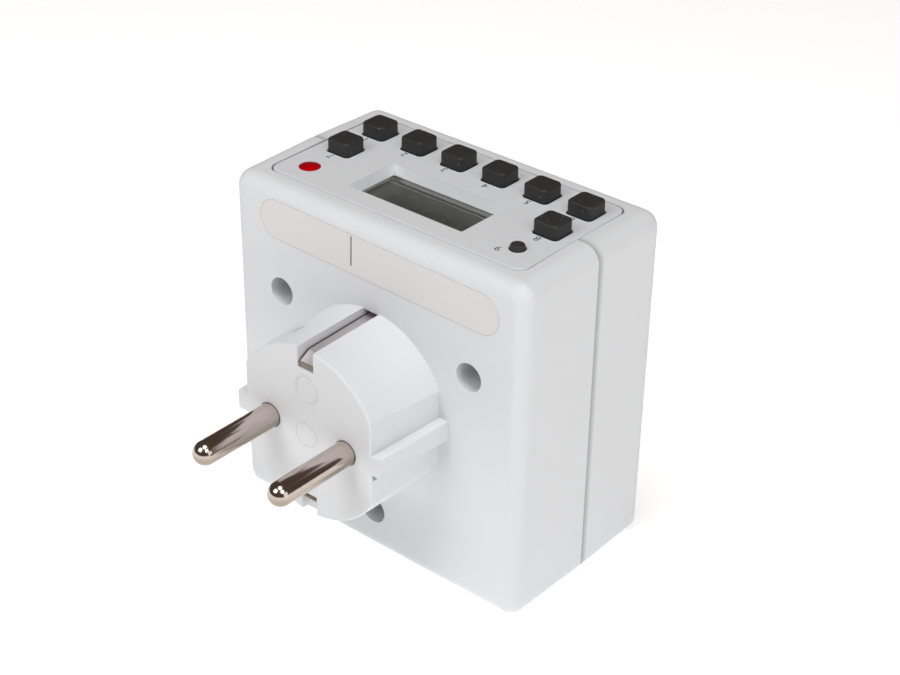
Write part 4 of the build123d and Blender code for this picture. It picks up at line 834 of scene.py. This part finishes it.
# %% Cross recess
BLADE_LENGTH = 2.9 * MM
BLADE_WIDTH = 0.62 * MM
BLADE_HEIGHT = 2.4 * MM
BLADE_TAPER = (0.35, 0.7, 1)
SMOOTH_BELOW = radians(32)
for quarter in (0, pi / 2):
    blade = slab(BLADE_LENGTH, BLADE_WIDTH, BLADE_HEIGHT)
    edit("FACE")
    pick("faces", lambda f: f.normal.z < -FACING)
    bpy.ops.transform.resize(value=BLADE_TAPER)
    bpy.ops.object.mode_set(mode="OBJECT")
    blade.location = (0, 0, HEAD_HEIGHT)
    blade.rotation_euler = (0, 0, quarter)
    bpy.ops.object.transform_apply(location=True, rotation=True, scale=False)
    start()
    screw.select_set(True)
    bpy.context.view_layer.objects.active = screw
    cut = screw.modifiers.new("cross_recess", "BOOLEAN")
    cut.operation = "DIFFERENCE"
    cut.object = blade
    bpy.ops.object.modifier_apply(modifier=cut.name)
    bpy.data.objects.remove(blade)
bpy.ops.object.shade_smooth_by_angle(angle=SMOOTH_BELOW)
print("screw faces after the recess:", len(screw.data.polygons))

# %% [markdown]
# One screw becomes three, each with its own mesh, turned to point out of its well and driven to
# a slightly different angle, as screws end up.

# %% Three screws in their wells
SCREW_CIRCLE = 27 * MM
WELL_FLOOR_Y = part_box("housing_screws")[0].y + HEAD_HEIGHT
for place, driven in ((30, 0.3), (150, 1.1), (270, 0.7)):
    copy = screw.copy()
    copy.data = screw.data.copy()
    bpy.context.collection.objects.link(copy)
    start()
    copy.select_set(True)
    bpy.context.view_layer.objects.active = copy
    copy.rotation_euler = (pi / 2, 0, 0)
    copy.data.transform(Matrix.Rotation(driven, 4, "Z"))
    copy.location = (
        SCREW_CIRCLE * cos(radians(place)),
        WELL_FLOOR_Y,
        AXIS_Z + SCREW_CIRCLE * sin(radians(place)),
    )
    piece = done(f"housing_screw_{place}", screw_steel)
    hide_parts("housing_screws")
bpy.data.objects.remove(screw)
print("well floors at", round(WELL_FLOOR_Y / MM, 1), "mm")

# %% [markdown]
# The stage is a pale seamless floor. A touch of its own light keeps it white behind the object,
# as an evenly lit studio sweep is. The light of the softboxes fades with distance, so the floor's
# own light grows away from the object and the white runs on to the horizon.

# %% Floor
FLOOR_SIZE = 5
NEAR_RADIUS = 0.4
FAR_RADIUS = 1.0
NEAR_GLOW = 0.46
start()
bpy.ops.mesh.primitive_plane_add(size=FLOOR_SIZE)
floor = bpy.context.object
floor.name = "floor"
floor_white = Finish("floor_white", Specular_IOR_Level=0.2)
paper = floor_white.cloud(40, 3.0)
far = floor_white.band(floor_white.length(floor_white.place()), NEAR_RADIUS, FAR_RADIUS)
floor_white.use(
    Base_Color=floor_white.blend(paper, grey(0.90), grey(0.92)),
    Roughness=0.8 + paper * 0.05,
    Emission_Color=floor_white.blend(far, grey(NEAR_GLOW), grey(1.0)),
    Emission_Strength=1.0,
)
floor.data.materials.append(floor_white.material)
print("floor", floor.dimensions.x, "m wide")

# %% [markdown]
# The room is nearly dark and a little brown, so that the bright metal has something dark and warm
# to reflect: only a faint even glow comes from all round. The form is drawn by the softboxes.

# %% Dim room
ROOM_GLOW = 0.075
ROOM_BROWN = (1, 0.77, 0.60, 1)
world = bpy.data.worlds.new("dim_room")
bpy.context.scene.world = world
world.use_nodes = True
background = world.node_tree.nodes["Background"]
background.inputs["Color"].default_value = ROOM_BROWN
background.inputs["Strength"].default_value = ROOM_GLOW
print("glow of the room", ROOM_GLOW)

# %% [markdown]
# Four softboxes light the object. One stands on each side of the camera, and they put the bright
# spots on each pin's tip. One hangs overhead and lights the key panel. A low one at the right
# fills the housing's side. All are large, so the shadows are soft.


# %% Softboxes
def softbox(name, azimuth, elevation, size, watts):
    """A square area light, its azimuth counted from the plug's side towards the right."""
    a = radians(azimuth)
    e = radians(elevation)
    towards_light = Vector((sin(a) * cos(e), -cos(a) * cos(e), sin(e)))
    start()
    bpy.ops.object.light_add(type="AREA", location=towards_light * SOFTBOX_DISTANCE)
    lamp = bpy.context.object
    lamp.name = name
    lamp.location.z += AXIS_Z
    lamp.rotation_euler = towards_light.to_track_quat("Z", "Y").to_euler()
    lamp.data.shape = "SQUARE"
    lamp.data.size = size
    lamp.data.energy = watts


SOFTBOX_DISTANCE = 0.95
softbox("softbox_left", -15, 42, 0.42, 2.65)
softbox("softbox_right", 65, 47, 0.42, 1.9)
softbox("softbox_overhead", 25, 80, 0.35, 3.9)
softbox("softbox_low", 90, 15, 0.6, 1.2)
print("softboxes", SOFTBOX_DISTANCE, "m away")

# %% [markdown]
# The camera stands in front of the plug, to its right and above it, a little under a quarter of a
# metre off each way. Its place, turn and lens are given outright, with a roll under one degree.
# The Standard view keeps white plastic white, where a film-like view would grey it.

# %% Camera
CAMERA_PLACE = (0.203664, -0.242250, 0.231306)
AZIMUTH = radians(39.866)
ELEVATION = radians(31.177)
ROLL = radians(0.882)
LENS = 75.66
SENSOR_WIDTH = 36
SHIFT_X = 0.00243
SHIFT_Y = -0.00057
start()
bpy.ops.object.camera_add(location=CAMERA_PLACE)
camera = bpy.context.object
camera.name = "camera"
turned = Matrix.Rotation(AZIMUTH, 3, "Z") @ Matrix.Rotation(pi / 2 - ELEVATION, 3, "X")
camera.rotation_euler = (turned @ Matrix.Rotation(ROLL, 3, "Z")).to_euler()
camera.data.lens = LENS
camera.data.sensor_width = SENSOR_WIDTH
camera.data.shift_x = SHIFT_X
camera.data.shift_y = SHIFT_Y
camera.data.clip_start = 10 * MM
bpy.context.scene.camera = camera
bpy.context.scene.view_settings.view_transform = "Standard"
print("camera", [round(v / MM) for v in camera.location], "mm")
